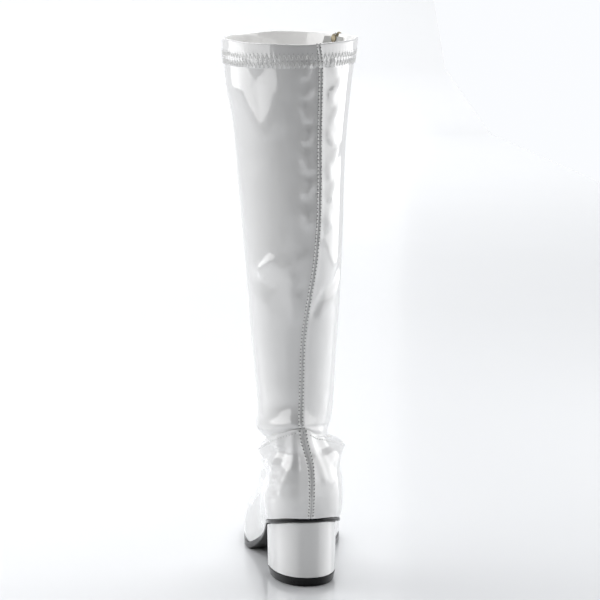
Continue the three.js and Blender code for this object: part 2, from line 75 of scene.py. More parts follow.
SHAFT_LOOPS = [
    (0.017, 0.027, -0.076, 0.79, 0.541, 0.57, -0.09),
    (0.061, 0.094, -0.066, 0.748, 0.558, 0.51, -0.11),
    (0.14, 0.18, -0.055, 0.745, 0.598, 0.545, -0.04),
    (0.225, 0.265, -0.04, 0.768, 0.638, 0.6, 0.05),
    (0.316, 0.352, -0.017, 0.815, 0.668, 0.64, 0.3),
    (0.422, 0.452, 0.0, 0.872, 0.688, 0.74, 0.69),
    (0.528, 0.552, 0.008, 0.92, 0.711, 0.83, 0.89),
    (0.633, 0.653, 0.01, 0.95, 0.741, 0.94, 0.98),
    (0.739, 0.753, 0.008, 0.968, 0.789, 1.0, 1.0),
    (0.838, 0.846, 0.004, 0.978, 0.857, 1.01, 1.03),
    (0.922, 0.928, 0.002, 0.99, 0.934, 1.03, 1.04),
    (0.979, 0.989, 0.0, 1.0, 0.975, 0.95, 0.85),
]

# The ankle's main folds, as in the CAD: height by the ankle seam's, side in degrees from the back
# towards the inner side, half height, half width and push by the ball's width
MAIN_FOLDS = [
    (0.795, 92, 0.055, 44, 0.18),
    (0.835, 92, 0.03, 42, 0.02),
    (0.7, 92, 0.04, 42, -0.035),
    (0.89, -88, 0.12, 48, -0.028),
    (0.79, -88, 0.035, 48, -0.035),
    (0.61, -88, 0.05, 48, -0.045),
    (0.922, 110, 0.041, 60, -0.03),
    (0.985, -85, 0.035, 60, 0.02),
    (0.843, -90, 0.031, 55, -0.085),
    (0.764, -90, 0.034, 45, 0.016),
    (0.695, -85, 0.034, 45, -0.034),
]

# Creases: a path of (degrees from the back towards the inner side, height), its half width and its push
CREASES = [
    # the upper leg's soft waves
    (((-104, 0.403), (-78, 0.402), (-66, 0.386), (-57, 0.377), (-50, 0.384), (-40, 0.402), (-24, 0.414)),
     0.015, 0.0019),
    (((-64, 0.434), (-57, 0.428)), 0.007, 0.0009),
    (((-80, 0.372), (-74, 0.35)), 0.014, -0.0006),
    (((-34, 0.365), (-30, 0.33)), 0.015, -0.0006),
    # puckers beside the back seam
    (((-12, 0.424), (-14, 0.418)), 0.0045, 0.0016),
    (((-10, 0.406), (-14, 0.401)), 0.0042, 0.0015),
    (((-15, 0.391), (-12, 0.384)), 0.0047, 0.0017),
    (((-10, 0.371), (-13, 0.366)), 0.0042, 0.0015),
    (((-14, 0.352), (-11, 0.344)), 0.0052, 0.0017),
    (((-10, 0.33), (-14, 0.324)), 0.0045, 0.0018),
    (((-13, 0.306), (-11, 0.3)), 0.005, 0.0015),
    (((13, 0.425), (17, 0.42)), 0.0045, 0.0014),
    (((22, 0.41), (18, 0.405)), 0.0045, 0.0013),
    (((12, 0.402), (14, 0.397)), 0.004, 0.0012),
    (((21, 0.388), (16, 0.382)), 0.0045, 0.0014),
    (((12, 0.369), (17, 0.365)), 0.0045, 0.0014),
    (((25, 0.358), (20, 0.351)), 0.005, 0.0013),
    (((12, 0.343), (14, 0.338)), 0.0045, 0.0012),
    (((21, 0.328), (16, 0.321)), 0.005, 0.0012),
    (((12, 0.305), (15, 0.3)), 0.005, 0.001),
    # dents behind the calf
    (((-66, 0.258), (-52, 0.267)), 0.005, 0.0013),
    (((-74, 0.25), (-40, 0.25)), 0.008, -0.0004),
    (((-46, 0.243), (-36, 0.232)), 0.009, -0.0007),
    (((-24, 0.254), (-18, 0.236), (-12, 0.222)), 0.0055, 0.0009),
    (((-34, 0.262), (-12, 0.27)), 0.007, 0.0006),
    (((-12, 0.246),), 0.005, -0.0007),
    (((-24, 0.212), (-8, 0.218)), 0.008, -0.0006),
    (((50, 0.264), (38, 0.25), (20, 0.243), (10, 0.226)), 0.004, -0.0011),
    (((52, 0.25), (36, 0.236), (22, 0.226)), 0.006, 0.0008),
    # the roll over the ankle seam
    (((-92, 0.122), (-56, 0.127), (-30, 0.131), (-12, 0.136)), 0.0045, 0.0023),
    (((-60, 0.146), (-20, 0.15)), 0.007, -0.0006),
    (((-30, 0.162), (-10, 0.166)), 0.008, 0.0005),
    (((20, 0.14), (60, 0.134)), 0.006, -0.0008),
    # folds below the ankle seam
    (((0, 0.127), (0, 0.072)), 0.0095, 0.0024),
    (((0, 0.118), (0, 0.078)), 0.006, 0.0012),
    (((-14, 0.124), (-18, 0.1), (-26, 0.079)), 0.004, 0.0013),
    (((-27, 0.118), (-32, 0.1), (-38, 0.082)), 0.0045, -0.0009),
    (((-38, 0.118), (-44, 0.096)), 0.004, 0.0008),
    (((-60, 0.11), (-66, 0.095)), 0.006, -0.0008),
    (((-8, 0.112), (-10, 0.084)), 0.007, -0.0008),
    (((10, 0.123), (8, 0.108), (11, 0.09)), 0.0045, 0.001),
    (((22, 0.118), (26, 0.098)), 0.006, -0.0006),
    (((36, 0.118), (40, 0.104), (48, 0.088)), 0.006, 0.0008),
]

SEAM_ROW = len(FOOT_LOOPS) - 1
COLLAR_ROW = SEAM_ROW + len(SHAFT_LOOPS)
STATIONS = (0.0, 0.14, 0.44, 0.7, 0.92, 1.01)
BALL_SKEW = 0.03
ARCH_CUT = 0.07
ROUND_END = 2
SQUARE_END = 0.35
NUDGE = 0.005
ROW_NUDGE = 0.02
ZIP_START = SEAM_ROW + 1.3


def length(name, default, description):
    return bpy.props.FloatProperty(name=name, default=default, description=description, min=0, unit="LENGTH")


def colour(name, default, description):
    return bpy.props.FloatVectorProperty(
        name=name, default=default, description=description, subtype="COLOR", min=0, max=1)


def share(name, default, description):
    return bpy.props.FloatProperty(
        name=name, default=default, description=description, min=0, max=1, subtype="FACTOR")


class LastSizes(bpy.types.PropertyGroup):
    """Sizes of the foot part."""

    foot: length("Last length", 0.246, "Heel back to toe tip, along the floor")
    ball: length("Ball width", 0.082, "Widest part of the foot")
    swing: length("Toe swing", 0.011, "How far the toe turns towards the inner side")
    seat: length("Seat height", 0.057, "Floor to the top of the outsole under the heel")
    counter: length("Counter height", 0.0735, "Heel seat to the ankle seam, at the back")
    instep: length("Instep height", 0.113, "Floor to the ankle seam, at the front")
    step: length("Seam step", 0.0008, "How far the foot part stands proud of the shaft")
    skin: length("Skin", 0.0007, "Thickness of the stretch patent")
    margin: length("Lasting margin", 0.009, "The upper's edge, turned in under the insole")
    gap: length("Gap", 0.0003, "Room between the pieces")


class ShaftSizes(bpy.types.PropertyGroup):
    """Sizes of the leg."""

    top: length("Boot height", 0.449, "Floor to the collar")
    width: length("Collar width", 0.11, "Side to side, flat")
    depth: length("Collar depth", 0.117, "Back to front")
    setback: length("Setback", 0.013, "How far the shaft stands in front of the heel block's middle")
    lean: length("Lean", 0.011, "Towards the outer side, at the calf")
    tip: length("Collar tip", 0.0019, "How much lower the collar stands on the outer side")
    twist: bpy.props.FloatProperty(
        name="Twist", default=math.radians(16), unit="ROTATION",
        description="How far the back seam wanders inwards at the calf")
    hem: length("Hem height", 0.0195, "Folded and stitched band under the collar's edge")
    hem_step: length("Hem step", 0.0007, "How far the hem stands out from the shaft")


class SoleSizes(bpy.types.PropertyGroup):
    """Sizes of the sole and the heel."""

    fore: length("Forepart", 0.0055, "Thickness of the outsole under the ball")
    rear: length("Seat", 0.003, "Thickness of the outsole under the heel")
    spring: length("Toe spring", 0.0065, "Rise of the sole under the toe")
    edge: length("Edge", 0.0012, "How far the forepart stands out past the upper")
    rear_edge: length("Seat edge", 0.0002, "How far the seat stands out past the upper")
    bevel: length("Tread bevel", 0.001, "Rounding of the lower edges")
    insole: length("Insole", 0.0022, "Thickness of the inner sole")
    heel_width: length("Heel width", 0.0555, "Side to side")
    heel_depth: length("Heel depth", 0.054, "Back to breast")
    heel_inset: length("Heel inset", 0.0022, "The block's back, in from the seat's")
    heel_taper: length("Heel taper", 0.0005, "How far the block draws in at the tread")
    lift_draw: length("Lift draw", 0.0014, "How far the top piece draws in towards the floor")
    lift: length("Lift", 0.0072, "Thickness of the top piece under the block")


class ZipSizes(bpy.types.PropertyGroup):
    """Sizes of the inner-side zip."""

    low: length("Lower place", 0.056, "From the heel's back to the zip, at its lower end")
    high: length("Upper place", 0.062, "From the heel's back to the zip, at the collar")
    slot: length("Slot", 0.0064, "Width of the opening over the teeth")
    tape: length("Tape", 0.024, "Width of both tapes")
    pitch: length("Tooth pitch", 0.0022, "From one tooth to the next on the same side")
    drop: length("Slider drop", 0.011, "Collar's edge to the slider's middle")


class StitchSizes(bpy.types.PropertyGroup):
    """Sizes of the seams' stitches."""

    pitch: length("Stitch length", 0.003, "From one needle hole to the next")
    thread: length("Thread", 0.00055, "Thickness of the thread")
    rows: length("Row gap", 0.0027, "Between the back seam's two rows")
    counter_rows: length("Counter row gap", 0.0042, "Between the two rows below the ankle seam")
    zigzag: length("Zigzag period", 0.0037, "From one point of the hem's zigzag to the next")
    zigzag_height: length("Zigzag height", 0.0054, "Of each of the hem's two zigzags")
    zigzag_drop: length("Zigzag drop", 0.0078, "Collar's edge to the upper zigzag")


class Finishes(bpy.types.PropertyGroup):
    """Colours and gloss."""

    patent: colour("Patent", (0.87, 0.87, 0.865), "White stretch patent")
    patent_rough: share("Patent roughness", 0.1, "Of the coloured layer under the gloss coat")
    sole: colour("Sole", (0.004, 0.004, 0.0045), "Glossy black outsole")
    lift: colour("Lift", (0.005, 0.005, 0.0055), "Black top piece")
    lining: colour("Lining", (0.85, 0.845, 0.83), "Off-white backing cloth")
    tape: colour("Tape", (0.78, 0.78, 0.76), "White zip tape")
    metal: colour("Metal", (0.3, 0.26, 0.18), "Pale brass of the zip's parts")
    thread: colour("Thread", (0.93, 0.93, 0.92), "White sewing thread")
    hole: colour("Needle hole", (0.12, 0.12, 0.125), "Shade inside a needle hole")


class Studio(bpy.types.PropertyGroup):
    """Camera, lights and floor."""

    azimuth: bpy.props.FloatProperty(
        name="Azimuth", default=math.radians(171.6), unit="ROTATION",
        description="Camera's place round the boot, from the toe")
    elevation: bpy.props.FloatProperty(
        name="Elevation", default=math.radians(8.4), unit="ROTATION",
        description="Camera's height above the aim point")
    distance: length("Distance", 2.5, "Camera to the aim point")
    lens: bpy.props.FloatProperty(
        name="Lens", default=187.14, description="Focal length, in millimetres", min=10, max=500)
    floor: colour("Floor", (0.8, 0.81, 0.825), "Pale studio floor")


# Shape of the last, the leg and the sole

def smooth(x):
    part = np.clip(x, 0, 1)
    return part * part * (3 - 2 * part)


def mix(a, b, part):
    return a + (b - a) * part


def bump(x):
    return np.exp(-x * x)


def height_on(stations, values, part):
    """A smooth curve through values that stand at stations, read at part."""
    last = len(stations) - 1
    found = values[0] + 0 * part
    for i in range(last):
        low, high = stations[i], stations[i + 1]
        step = high - low
        t = np.clip((part - low) / step, 0, 1)
        before = (values[i + 1] - values[i - 1]) / (high - stations[i - 1]) * step if i > 0 else 0
        after = (values[i + 2] - values[i]) / (stations[i + 2] - low) * step if i + 2 <= last else 0
        curve = (
            (2 * t ** 3 - 3 * t * t + 1) * values[i] + (t ** 3 - 2 * t * t + t) * before
            + (3 * t * t - 2 * t ** 3) * values[i + 1] + (t ** 3 - t * t) * after)
        found = np.where(part >= low, curve, found)
    return found


def crease_push(creases, degrees, height, radius):
    """How far the creases push the face outwards at each point."""
    total = 0 * height
    across = np.radians(degrees) * radius
    for path, width, rise in creases:
        nearest = np.full(np.shape(across), 1e9)
        for start, end in zip(path, path[1:] if len(path) > 1 else path):
            ax, bx = (math.radians(side) * radius for side in (start[0], end[0]))
            az, bz = start[1], end[1]
            run_x, run_z = bx - ax, bz - az
            long = np.maximum(run_x ** 2 + run_z ** 2, 1e-9)
            t = np.clip(((across - ax) * run_x + (height - az) * run_z) / long, 0, 1)
            gap = (across - ax - t * run_x) ** 2 + (height - az - t * run_z) ** 2
            nearest = np.minimum(nearest, gap)
        total = total + rise * np.exp(-nearest / width ** 2)
    return total


class Form:
    """The boot's outer face and sole curves, from the sizes in the panel."""

    def __init__(self, scene):
        self.last = scene.boot_last
        self.shaft = scene.boot_shaft
        self.sole = scene.boot_sole
        self.zip = scene.boot_zip
        self.back = self.sole.heel_depth / 2 + self.sole.heel_inset
        self.ankle = self.last.seat + self.last.counter
        self.columns = self.loop_table()
        self.rim = float(self.columns["back_z"][-1])

    def loop_table(self):
        last, shaft = self.last, self.shaft
        middle = self.back + shaft.setback
        rows = []
        for values in FOOT_LOOPS:
            row = dict(zip(FOOT_COLUMNS, values))
            level = row["front_rise"] * last.instep
            rows.append((
                row["back"] * last.foot,
                last.seat + last.gap + row["back_rise"] * last.counter,
                row["front"] * last.foot,
                level if rows else float(self.sole_top(1.0)) + last.gap,
                row["follow"],
                *(row[name] * last.ball for name in ("heel", "waist", "ball", "toe")),
                row["back_cap"],
                row["front_cap"],
                0.0,
                shaft.lean * SHAFT_LOOPS[0][5] * float(smooth(2 * row["back_rise"] - 1)),
            ))
        for values in SHAFT_LOOPS:
            row = dict(zip(SHAFT_COLUMNS, values))
            half = row["width"] / 2 * shaft.width
            rows.append((
                middle - (row["middle"] + row["depth"] / 2) * shaft.depth,
                mix(self.ankle, shaft.top, row["back_up"]),
                middle - (row["middle"] - row["depth"] / 2) * shaft.depth,
                mix(last.instep, shaft.top, row["front_up"]),
                0.0,
                half, half, half, half,
                0.5,
                0.5,
                row["turn"] * shaft.twist,
                shaft.lean * row["lean"],
            ))
        names = (
            "back", "back_z", "front", "front_z", "follow", "heel", "waist", "ball", "toe",
            "back_cap", "front_cap", "turn", "lean")
        return dict(zip(names, np.array(rows).T))

    def fore_share(self, part):
        return smooth((part - 0.33) / 0.25)

    def sole_under(self, part):
        part = np.asarray(part, float)
        flat_end = SOLE_PROFILE[-1][0]
        flat_start = SOLE_PROFILE[-2][0]
        stations, rises = zip(*SOLE_PROFILE)
        seat = (self.last.seat - self.sole.rear) * np.maximum(0, height_on(stations, rises, part))
        spring = self.sole.spring * ((part - flat_end) / (1 - flat_end)) ** 2
        return np.where(part > flat_end, spring, np.where(part >= flat_start, 0, seat))

    def sole_top(self, part):
        return self.sole_under(part) + mix(self.sole.rear, self.sole.fore, self.fore_share(part))

    def middle_line(self, part):
        return -self.last.swing * smooth((part - 0.12) / 0.76)

    def row(self, place):
        """Every column of the loop table at a place between its rows."""
        low = np.clip(np.floor(place), 0, COLLAR_ROW - 1).astype(int)
        t = place - low
        picks = [np.clip(low + k, 0, COLLAR_ROW) for k in (-1, 0, 1, 2)]
        found = {}
        for name, column in self.columns.items():
            a, b, c, d = (column[pick] for pick in picks)
            found[name] = 0.5 * (
                2 * b + (c - a) * t + (2 * a - 5 * b + 4 * c - d) * t * t
                + (3 * b - a - 3 * c + d) * t ** 3)
        return found

    def half_breadth(self, row, part, side):
        shift = -side * BALL_SKEW * row["follow"]
        waist = row["waist"] * np.where(side < 0, 1 - ARCH_CUT * row["follow"], 1)
        stations = [STATIONS[0], STATIONS[1], STATIONS[2], STATIONS[3] + shift, STATIONS[4], STATIONS[5]]
        values = [row["heel"], row["heel"], waist, row["ball"], row["toe"], row["toe"]]
        power = ROUND_END + SQUARE_END * row["follow"]

        def cap(reach):
            return (1 - (1 - np.clip(reach, 0, 1)) ** power) ** (1 / power)

        body = height_on(stations, values, part)
        return body * cap(part / row["back_cap"]) * cap((1 - part) / row["front_cap"])

    def last_point(self, place, angle):
        """Points of the bare last at places in the loop table and angles round the boot."""
        place, angle = np.broadcast_arrays(np.asarray(place, float), np.asarray(angle, float))
        row = self.row(place)
        part = (1 + np.cos(angle)) / 2
        side = np.where(np.sin(angle) >= 0, -1, 1)
        distance = mix(row["back"], row["front"], part)
        foot = np.clip(distance / self.last.foot, 0, 1)
        straight = mix(self.last.seat, float(self.sole_top(1.0)), foot)
        up = np.clip((row["back_z"] - self.last.seat) / (self.shaft.top - self.last.seat), 0, 1)
        x = side * self.half_breadth(row, part, side)
        z = (
            mix(row["back_z"], row["front_z"], part) + row["follow"] * (self.sole_top(foot) - straight)
            - up * self.shaft.tip * (x / self.shaft.width))
        middle = mix(row["back"], row["front"], 0.5)
        along = distance - middle
        cos, sin = np.cos(row["turn"]), np.sin(row["turn"])
        return np.stack([
            x * cos + along * sin + self.middle_line(foot) * row["follow"] + row["lean"],
            self.back - middle - along * cos + x * sin,
            z,
        ], -1)

    def outward(self, place, angle):
        low = np.maximum(0, place - ROW_NUDGE)
        high = np.minimum(COLLAR_ROW, place + ROW_NUDGE)
        up = self.last_point(high, angle) - self.last_point(low, angle)
        round_ = self.last_point(place, angle + NUDGE) - self.last_point(place, angle - NUDGE)
        face = np.cross(up, round_)
        return face / np.linalg.norm(face, axis=-1, keepdims=True)

    def side_degrees(self, angle):
        """Degrees from the back, inner side positive."""
        return 180 - np.degrees(np.mod(angle, 2 * math.pi))

    def relief(self, place, angle, point):
        degrees = self.side_degrees(angle)
        height = point[..., 2]
        total = 0 * height
        for level, side, reach, spread, rise in MAIN_FOLDS:
            total = total + rise * self.last.ball * bump((height / self.ankle - level) / reach) * bump(
                (degrees - side) / spread)
        row = self.row(place)
        radius = (row["front"] - row["back"] + row["waist"] * 2) / 4
        across = np.radians(degrees) * radius
        ridge = np.exp(-np.abs(across) / np.where(across > 0, 0.009, 0.022)) * smooth(place - SEAM_ROW + 0.5)
        return total + 0.002 * ridge + crease_push(CREASES, degrees, height, radius)

    def skin(self, place, angle, lift=0.0):
        """Points of the folded leg's face, lift metres outside it."""
        place, angle = np.broadcast_arrays(np.asarray(place, float), np.asarray(angle, float))
        point = self.last_point(place, angle)
        push = self.relief(place, angle, point) + lift
        return point + self.outward(place, angle) * np.asarray(push)[..., None]

    def place_at(self, height):
        """The place in the loop table whose back stands at this height."""
        places = np.linspace(SEAM_ROW, COLLAR_ROW, 4000)
        return float(np.interp(height, self.row(places)["back_z"], places))

    def pace(self, place, angle):
        """Metres round the boot for one radian."""
        step = self.last_point(place, angle + NUDGE) - self.last_point(place, angle - NUDGE)
        return np.linalg.norm(step, axis=-1) / (2 * NUDGE)

    def zip_angle(self, place, sideways=0.0):
        place = np.asarray(place, float)
        row = self.row(place)
        up = (place - ZIP_START) / (COLLAR_ROW - ZIP_START)
        part = (mix(self.zip.low, self.zip.high, smooth(up)) - row["back"]) / (row["front"] - row["back"])
        angle = np.arccos(np.clip(2 * part - 1, -1, 1))
        return angle + sideways / self.pace(place, angle)

    def sole_ring(self, edge, level, angles):
        """A level ring of the sole, edge metres outside the upper's lowest loop."""
        row = self.row(np.zeros_like(angles))
        part = (1 + np.cos(angles)) / 2
        side = np.where(np.sin(angles) >= 0, -1, 1)
        grow = edge(part)
        distance = mix(row["back"] - grow, row["front"] + grow, part)
        foot = np.clip(distance / self.last.foot, 0, 1)
        reach = self.half_breadth(row, part, side) + grow * np.sqrt(np.abs(np.sin(angles)))
        return np.stack([
            side * np.maximum(0, reach) + self.middle_line(foot),
            self.back - distance,
            level(foot) + 0 * foot,
        ], -1)

    def squeezed_ring(self, edge, level, angles, squeeze):
        """A sole ring drawn in towards the foot's middle line; 1 leaves it as it is."""
        ring = self.sole_ring(edge, level, np.mod(angles, 2 * math.pi))
        middle = self.middle_line(np.clip((self.back - ring[:, 1]) / self.last.foot, 0, 1))
        ring[:, 0] = mix(middle, ring[:, 0], squeeze)
        return ring


# Modelling helpers

def only(piece):
    """Selects one piece and nothing else."""
    bpy.ops.object.select_all(action="DESELECT")
    piece.select_set(True)
    bpy.context.view_layer.objects.active = piece


def added(adder, **settings):
    """A new primitive, the only thing selected."""
    bpy.ops.object.select_all(action="DESELECT")
    adder(**settings)
    return bpy.context.object


def in_edit(piece, *steps):
    """Runs edit-mode steps on the whole of a piece."""
    only(piece)
    bpy.ops.object.mode_set(mode="EDIT")
    bpy.ops.mesh.select_mode(type="VERT")
    bpy.ops.mesh.select_all(action="SELECT")
    for step in steps:
        step()
    bpy.ops.object.mode_set(mode="OBJECT")


def apply_modifier(piece, kind, **settings):
    only(piece)
    modifier = piece.modifiers.new(kind.title(), kind)
    for name, value in settings.items():
        setattr(modifier, name, value)
    bpy.ops.object.modifier_apply(modifier=modifier.name)


def rounded(piece, width, segments=3):
    """Rounds the piece's sharp edges."""
    apply_modifier(
        piece, "BEVEL", width=width, segments=segments, limit_method="ANGLE", angle_limit=math.radians(50))


def sheet(name, points, flat=None, weld=2e-5):
    """A grid laid through rows of points and sewn where its edges meet; flat is its cut pattern."""
    rows, columns = points.shape[:2]
    piece = added(
        bpy.ops.mesh.primitive_grid_add,
        x_subdivisions=columns - 1, y_subdivisions=rows - 1, size=1, calc_uvs=True)
    piece.name = name
    piece.data.name = name
    mesh = piece.data
    mesh.vertices.foreach_set("co", np.ascontiguousarray(points, np.float32).reshape(-1))
    if flat is not None:
        corner = np.zeros(len(mesh.loops), int)
        mesh.loops.foreach_get("vertex_index", corner)
        layer = mesh.uv_layers.active
        layer.name = "Pattern"
        layer.data.foreach_set("uv", flat.reshape(-1, 2)[corner].astype(np.float32).reshape(-1))
    mesh.update()
    in_edit(piece, lambda: bpy.ops.mesh.remove_doubles(threshold=weld))
    return piece


def face_out(piece, towards):
    """Turns an open sheet over if it faces the wrong way; towards gives a direction for a point."""
    middle = np.zeros(len(piece.data.polygons) * 3)
    normal = np.zeros(len(piece.data.polygons) * 3)
    piece.data.polygons.foreach_get("center", middle)
    piece.data.polygons.foreach_get("normal", normal)
    wanted = towards(middle.reshape(-1, 3))
    if np.sum(wanted * normal.reshape(-1, 3)) < 0:
        in_edit(piece, lambda: bpy.ops.mesh.flip_normals())


def closed_out(piece):
    in_edit(piece, lambda: bpy.ops.mesh.normals_make_consistent(inside=False))


def pattern_of(points, zero_column=0):
    """Metres along each row from one column, and up that column, for a grid of points."""
    steps = np.linalg.norm(np.diff(points, axis=1), axis=-1)
    along = np.concatenate([np.zeros((len(points), 1)), np.cumsum(steps, 1)], 1)
    along = along - along[:, zero_column:zero_column + 1]
    rise = np.linalg.norm(np.diff(points[:, zero_column], axis=0), axis=-1)
    up = np.concatenate([[0], np.cumsum(rise)])
    return np.stack([along, np.broadcast_to(up[:, None], along.shape)], -1)


def settle(piece, body, slot, finish, *nodes, angle=35):
    """Gives a finished piece its shading and finish, hangs it on its body and hides the CAD nodes that it
    stands for; slot is not used.
    """
    only(piece)
    bpy.ops.object.shade_smooth_by_angle(angle=math.radians(angle))
    piece.data.materials.clear()
    piece.data.materials.append(bpy.data.materials[finish])
    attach(piece, body)
    if nodes:
        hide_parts(*nodes)


def walk(points, normals, pitch):
    """Points and normals a pitch apart along a dense line."""
    run = np.concatenate([[0], np.cumsum(np.linalg.norm(np.diff(points, axis=0), axis=-1))])
    count = max(2, int(round(run[-1] / pitch)))
    stops = np.linspace(0, run[-1], count + 1)
    picked = [
        np.stack([np.interp(stops, run, data[:, k]) for k in range(3)], -1)
        for data in (points, normals)]
    return picked[0], picked[1] / np.linalg.norm(picked[1], axis=-1, keepdims=True)


def unit(vectors):
    return vectors / np.maximum(np.linalg.norm(vectors, axis=-1, keepdims=True), 1e-12)


def base_mesh(piece):
    """Vertices and faces of a model that is to be copied, which is then taken away."""
    vertices = np.array([vertex.co for vertex in piece.data.vertices])
    faces = [tuple(face.vertices) for face in piece.data.polygons]
    mesh = piece.data
    bpy.data.objects.remove(piece)
    bpy.data.meshes.remove(mesh)
    return vertices, faces


def joined_copies(name, base, places, axes):
    """One mesh of many copies; axes are each copy's three scaled directions."""
    vertices, faces = base
    moved = places[:, None] + np.einsum("vk,nkc->nvc", vertices, axes)
    shifted = [tuple(k + i * len(vertices) for k in face) for i in range(len(places)) for face in faces]
    mesh = bpy.data.meshes.new(name)
    mesh.from_pydata(moved.reshape(-1, 3).tolist(), [], shifted)
    piece = bpy.data.objects.new(name, mesh)
    bpy.context.scene.collection.objects.link(piece)
    return piece


def thread_model():
    """One stitch, 1 long and 1 thick, whose ends dive into their holes."""
    piece = added(bpy.ops.mesh.primitive_uv_sphere_add, segments=6, ring_count=6, radius=1)
    for vertex in piece.data.vertices:
        x, y, z = vertex.co
        girth = math.hypot(x, y)
        fuller = (girth ** 0.55 / girth) if girth > 1e-6 else 0
        vertex.co = (z / 2, y * fuller / 2, x * fuller / 2 + 0.35 - 0.75 * z ** 4)
    return base_mesh(piece)


def stitches(name, starts, ends, normals, thread, fill=0.86):
    """Joined stitches from each start to its end."""
    along = (ends - starts) * fill
    across = unit(np.cross(normals, along)) * thread
    out = unit(np.cross(along, across)) * thread
    piece = joined_copies(name, thread_model(), (starts + ends) / 2, np.stack([along, across, out], 1))
    closed_out(piece)
    settle(piece, "boot", "patent", "white thread with painted glow", angle=80)


def hole_model():
    """One needle hole: a small dish, 1 across."""
    piece = added(bpy.ops.mesh.primitive_circle_add, vertices=6, radius=0.5, fill_type="TRIFAN")
    in_edit(
        piece,
        lambda: bpy.ops.mesh.extrude_region_move(TRANSFORM_OT_translate={"value": (0, 0, 0.12)}))
    return base_mesh(piece)


def holes(name, points, normals, size):
    """Joined needle holes at points: dark dishes that paint the shade inside each hole."""
    side = unit(np.cross(normals, np.array([0.31, 0.17, 0.93])))
    across = np.cross(normals, side)
    axes = np.stack([side * size, across * size, normals * size], 1)
    piece = joined_copies(name, hole_model(), points, axes)
    closed_out(piece)
    settle(piece, "boot", "patent", "needle hole shade", angle=80)


# Finishes

class Channel:
    """One output in a node tree; sums, differences and products add Math nodes."""

    def __init__(self, nodes, socket):
        self.nodes = nodes
        self.socket = socket

    def __add__(self, other):
        return self.nodes.maths("ADD", self, other)

    def __radd__(self, other):
        return self.nodes.maths("ADD", other, self)

    def __rsub__(self, other):
        return self.nodes.maths("SUBTRACT", other, self)

    def __mul__(self, other):
        return self.nodes.maths("MULTIPLY", self, other)


class Nodes:
    """The emptied node tree of a material or world."""

    def __init__(self, owner):
        owner.use_nodes = True
        self.tree = owner.node_tree
        self.tree.nodes.clear()

    def node(self, kind, settings=None, values=None, output=0):
        """Adds a node: its settings first, then the values or links of its sockets."""
        made = self.tree.nodes.new(kind)
        for name, value in (settings or {}).items():
            setattr(made, name, value)
        for key, value in (values or {}).items():
            socket = made.inputs[key]
            if isinstance(value, Channel):
                self.tree.links.new(value.socket, socket)
            else:
                socket.default_value = value
        return Channel(self, made.outputs[output])

    def maths(self, operation, *values):
        return self.node("ShaderNodeMath", {"operation": operation}, dict(enumerate(values)))


class Finish(Nodes):
    """A procedural material."""

    def __init__(self, name):
        self.material = bpy.data.materials.new(name)
        super().__init__(self.material)

    def place(self):
        """Object coordinates, in metres."""
        return self.node("ShaderNodeTexCoord", output="Object")

    def pattern(self):
        """The piece's own cut pattern, in metres."""
        return self.node("ShaderNodeUVMap", {"uv_map": "Pattern"}, output="UV")

    def axes(self, at):
        """The X, Y and Z of a place."""
        x = self.node("ShaderNodeSeparateXYZ", {}, {0: at})
        return [Channel(self, output) for output in x.socket.node.outputs]

    def noise(self, at, scale, detail=2.0, roughness=0.5):
        values = {"Vector": at, "Scale": scale, "Detail": detail, "Roughness": roughness}
        return self.node("ShaderNodeTexNoise", {}, values, "Fac")

    def between(self, factor, first, second):
        """A colour mixed from first to second."""
        values = {0: factor, 6: self.tone(first), 7: self.tone(second)}
        return self.node("ShaderNodeMix", {"data_type": "RGBA"}, values, 2)

    @staticmethod
    def tone(value):
        return value if isinstance(value, Channel) else (*tuple(value)[:3], 1)

    def bumped(self, height, distance, strength=1.0, under=None):
        values = {"Height": height, "Distance": distance, "Strength": strength}
        if under is not None:
            values["Normal"] = under
        return self.node("ShaderNodeBump", {}, values, "Normal")

    def shade(self, **values):
        """Ends the material in a Principled shader."""
        named = {name.replace("_", " "): value for name, value in values.items()}
        shader = self.node("ShaderNodeBsdfPrincipled", {}, named, "BSDF")
        out = self.tree.nodes.new("ShaderNodeOutputMaterial")
        self.tree.links.new(shader.socket, out.inputs["Surface"])
        return self.material


def dimmed(colour_value, part):
    return tuple(part * value for value in colour_value)


def patent_finish(looks, name="white patent", turned_in=None):
    """White stretch patent: coloured layer, slight orange peel and a gloss coat.

    Past turned_in, up its cut pattern, an emission in the lining's colour paints the light that comes through
    the thin cloth from outside: a painted glow.
    """
    made = Finish(name)
    at = made.place()
    drift = made.noise(at, 14, 3)
    base = made.between(drift, dimmed(looks.patent, 0.975), looks.patent)
    smear = made.noise(at, 38, 4, 0.6)
    rough = looks.patent_rough + smear * 0.06
    swell = made.noise(at, 55, 1.5)
    peel = made.noise(at, 620, 2)
    wave = made.bumped(swell, 0.0011, 0.35)
    normal = made.bumped(peel, 0.00003, 0.5, wave)
    through = {}
    if turned_in is not None:
        # painted glow: an emission stands in for light shining through the cloth
        up = made.axes(made.pattern())[1]
        inside = made.maths("GREATER_THAN", up, turned_in)
        glow = made.between(inside, (0, 0, 0), looks.lining)
        through = {"Emission_Color": glow, "Emission_Strength": 0.36}
    return made.shade(
        Base_Color=base, Roughness=rough, Normal=normal, Coat_Weight=1.0, Coat_Roughness=0.02,
        Coat_IOR=1.55, IOR=1.5, **through)


def tread(made, at, pitch):
    """Fine ribs across the underside, where the piece meets the floor."""
    _, along, height = made.axes(at)
    wave = made.maths("SINE", along * (2 * math.pi / pitch))
    return wave * made.maths("LESS_THAN", height, 0.0006)


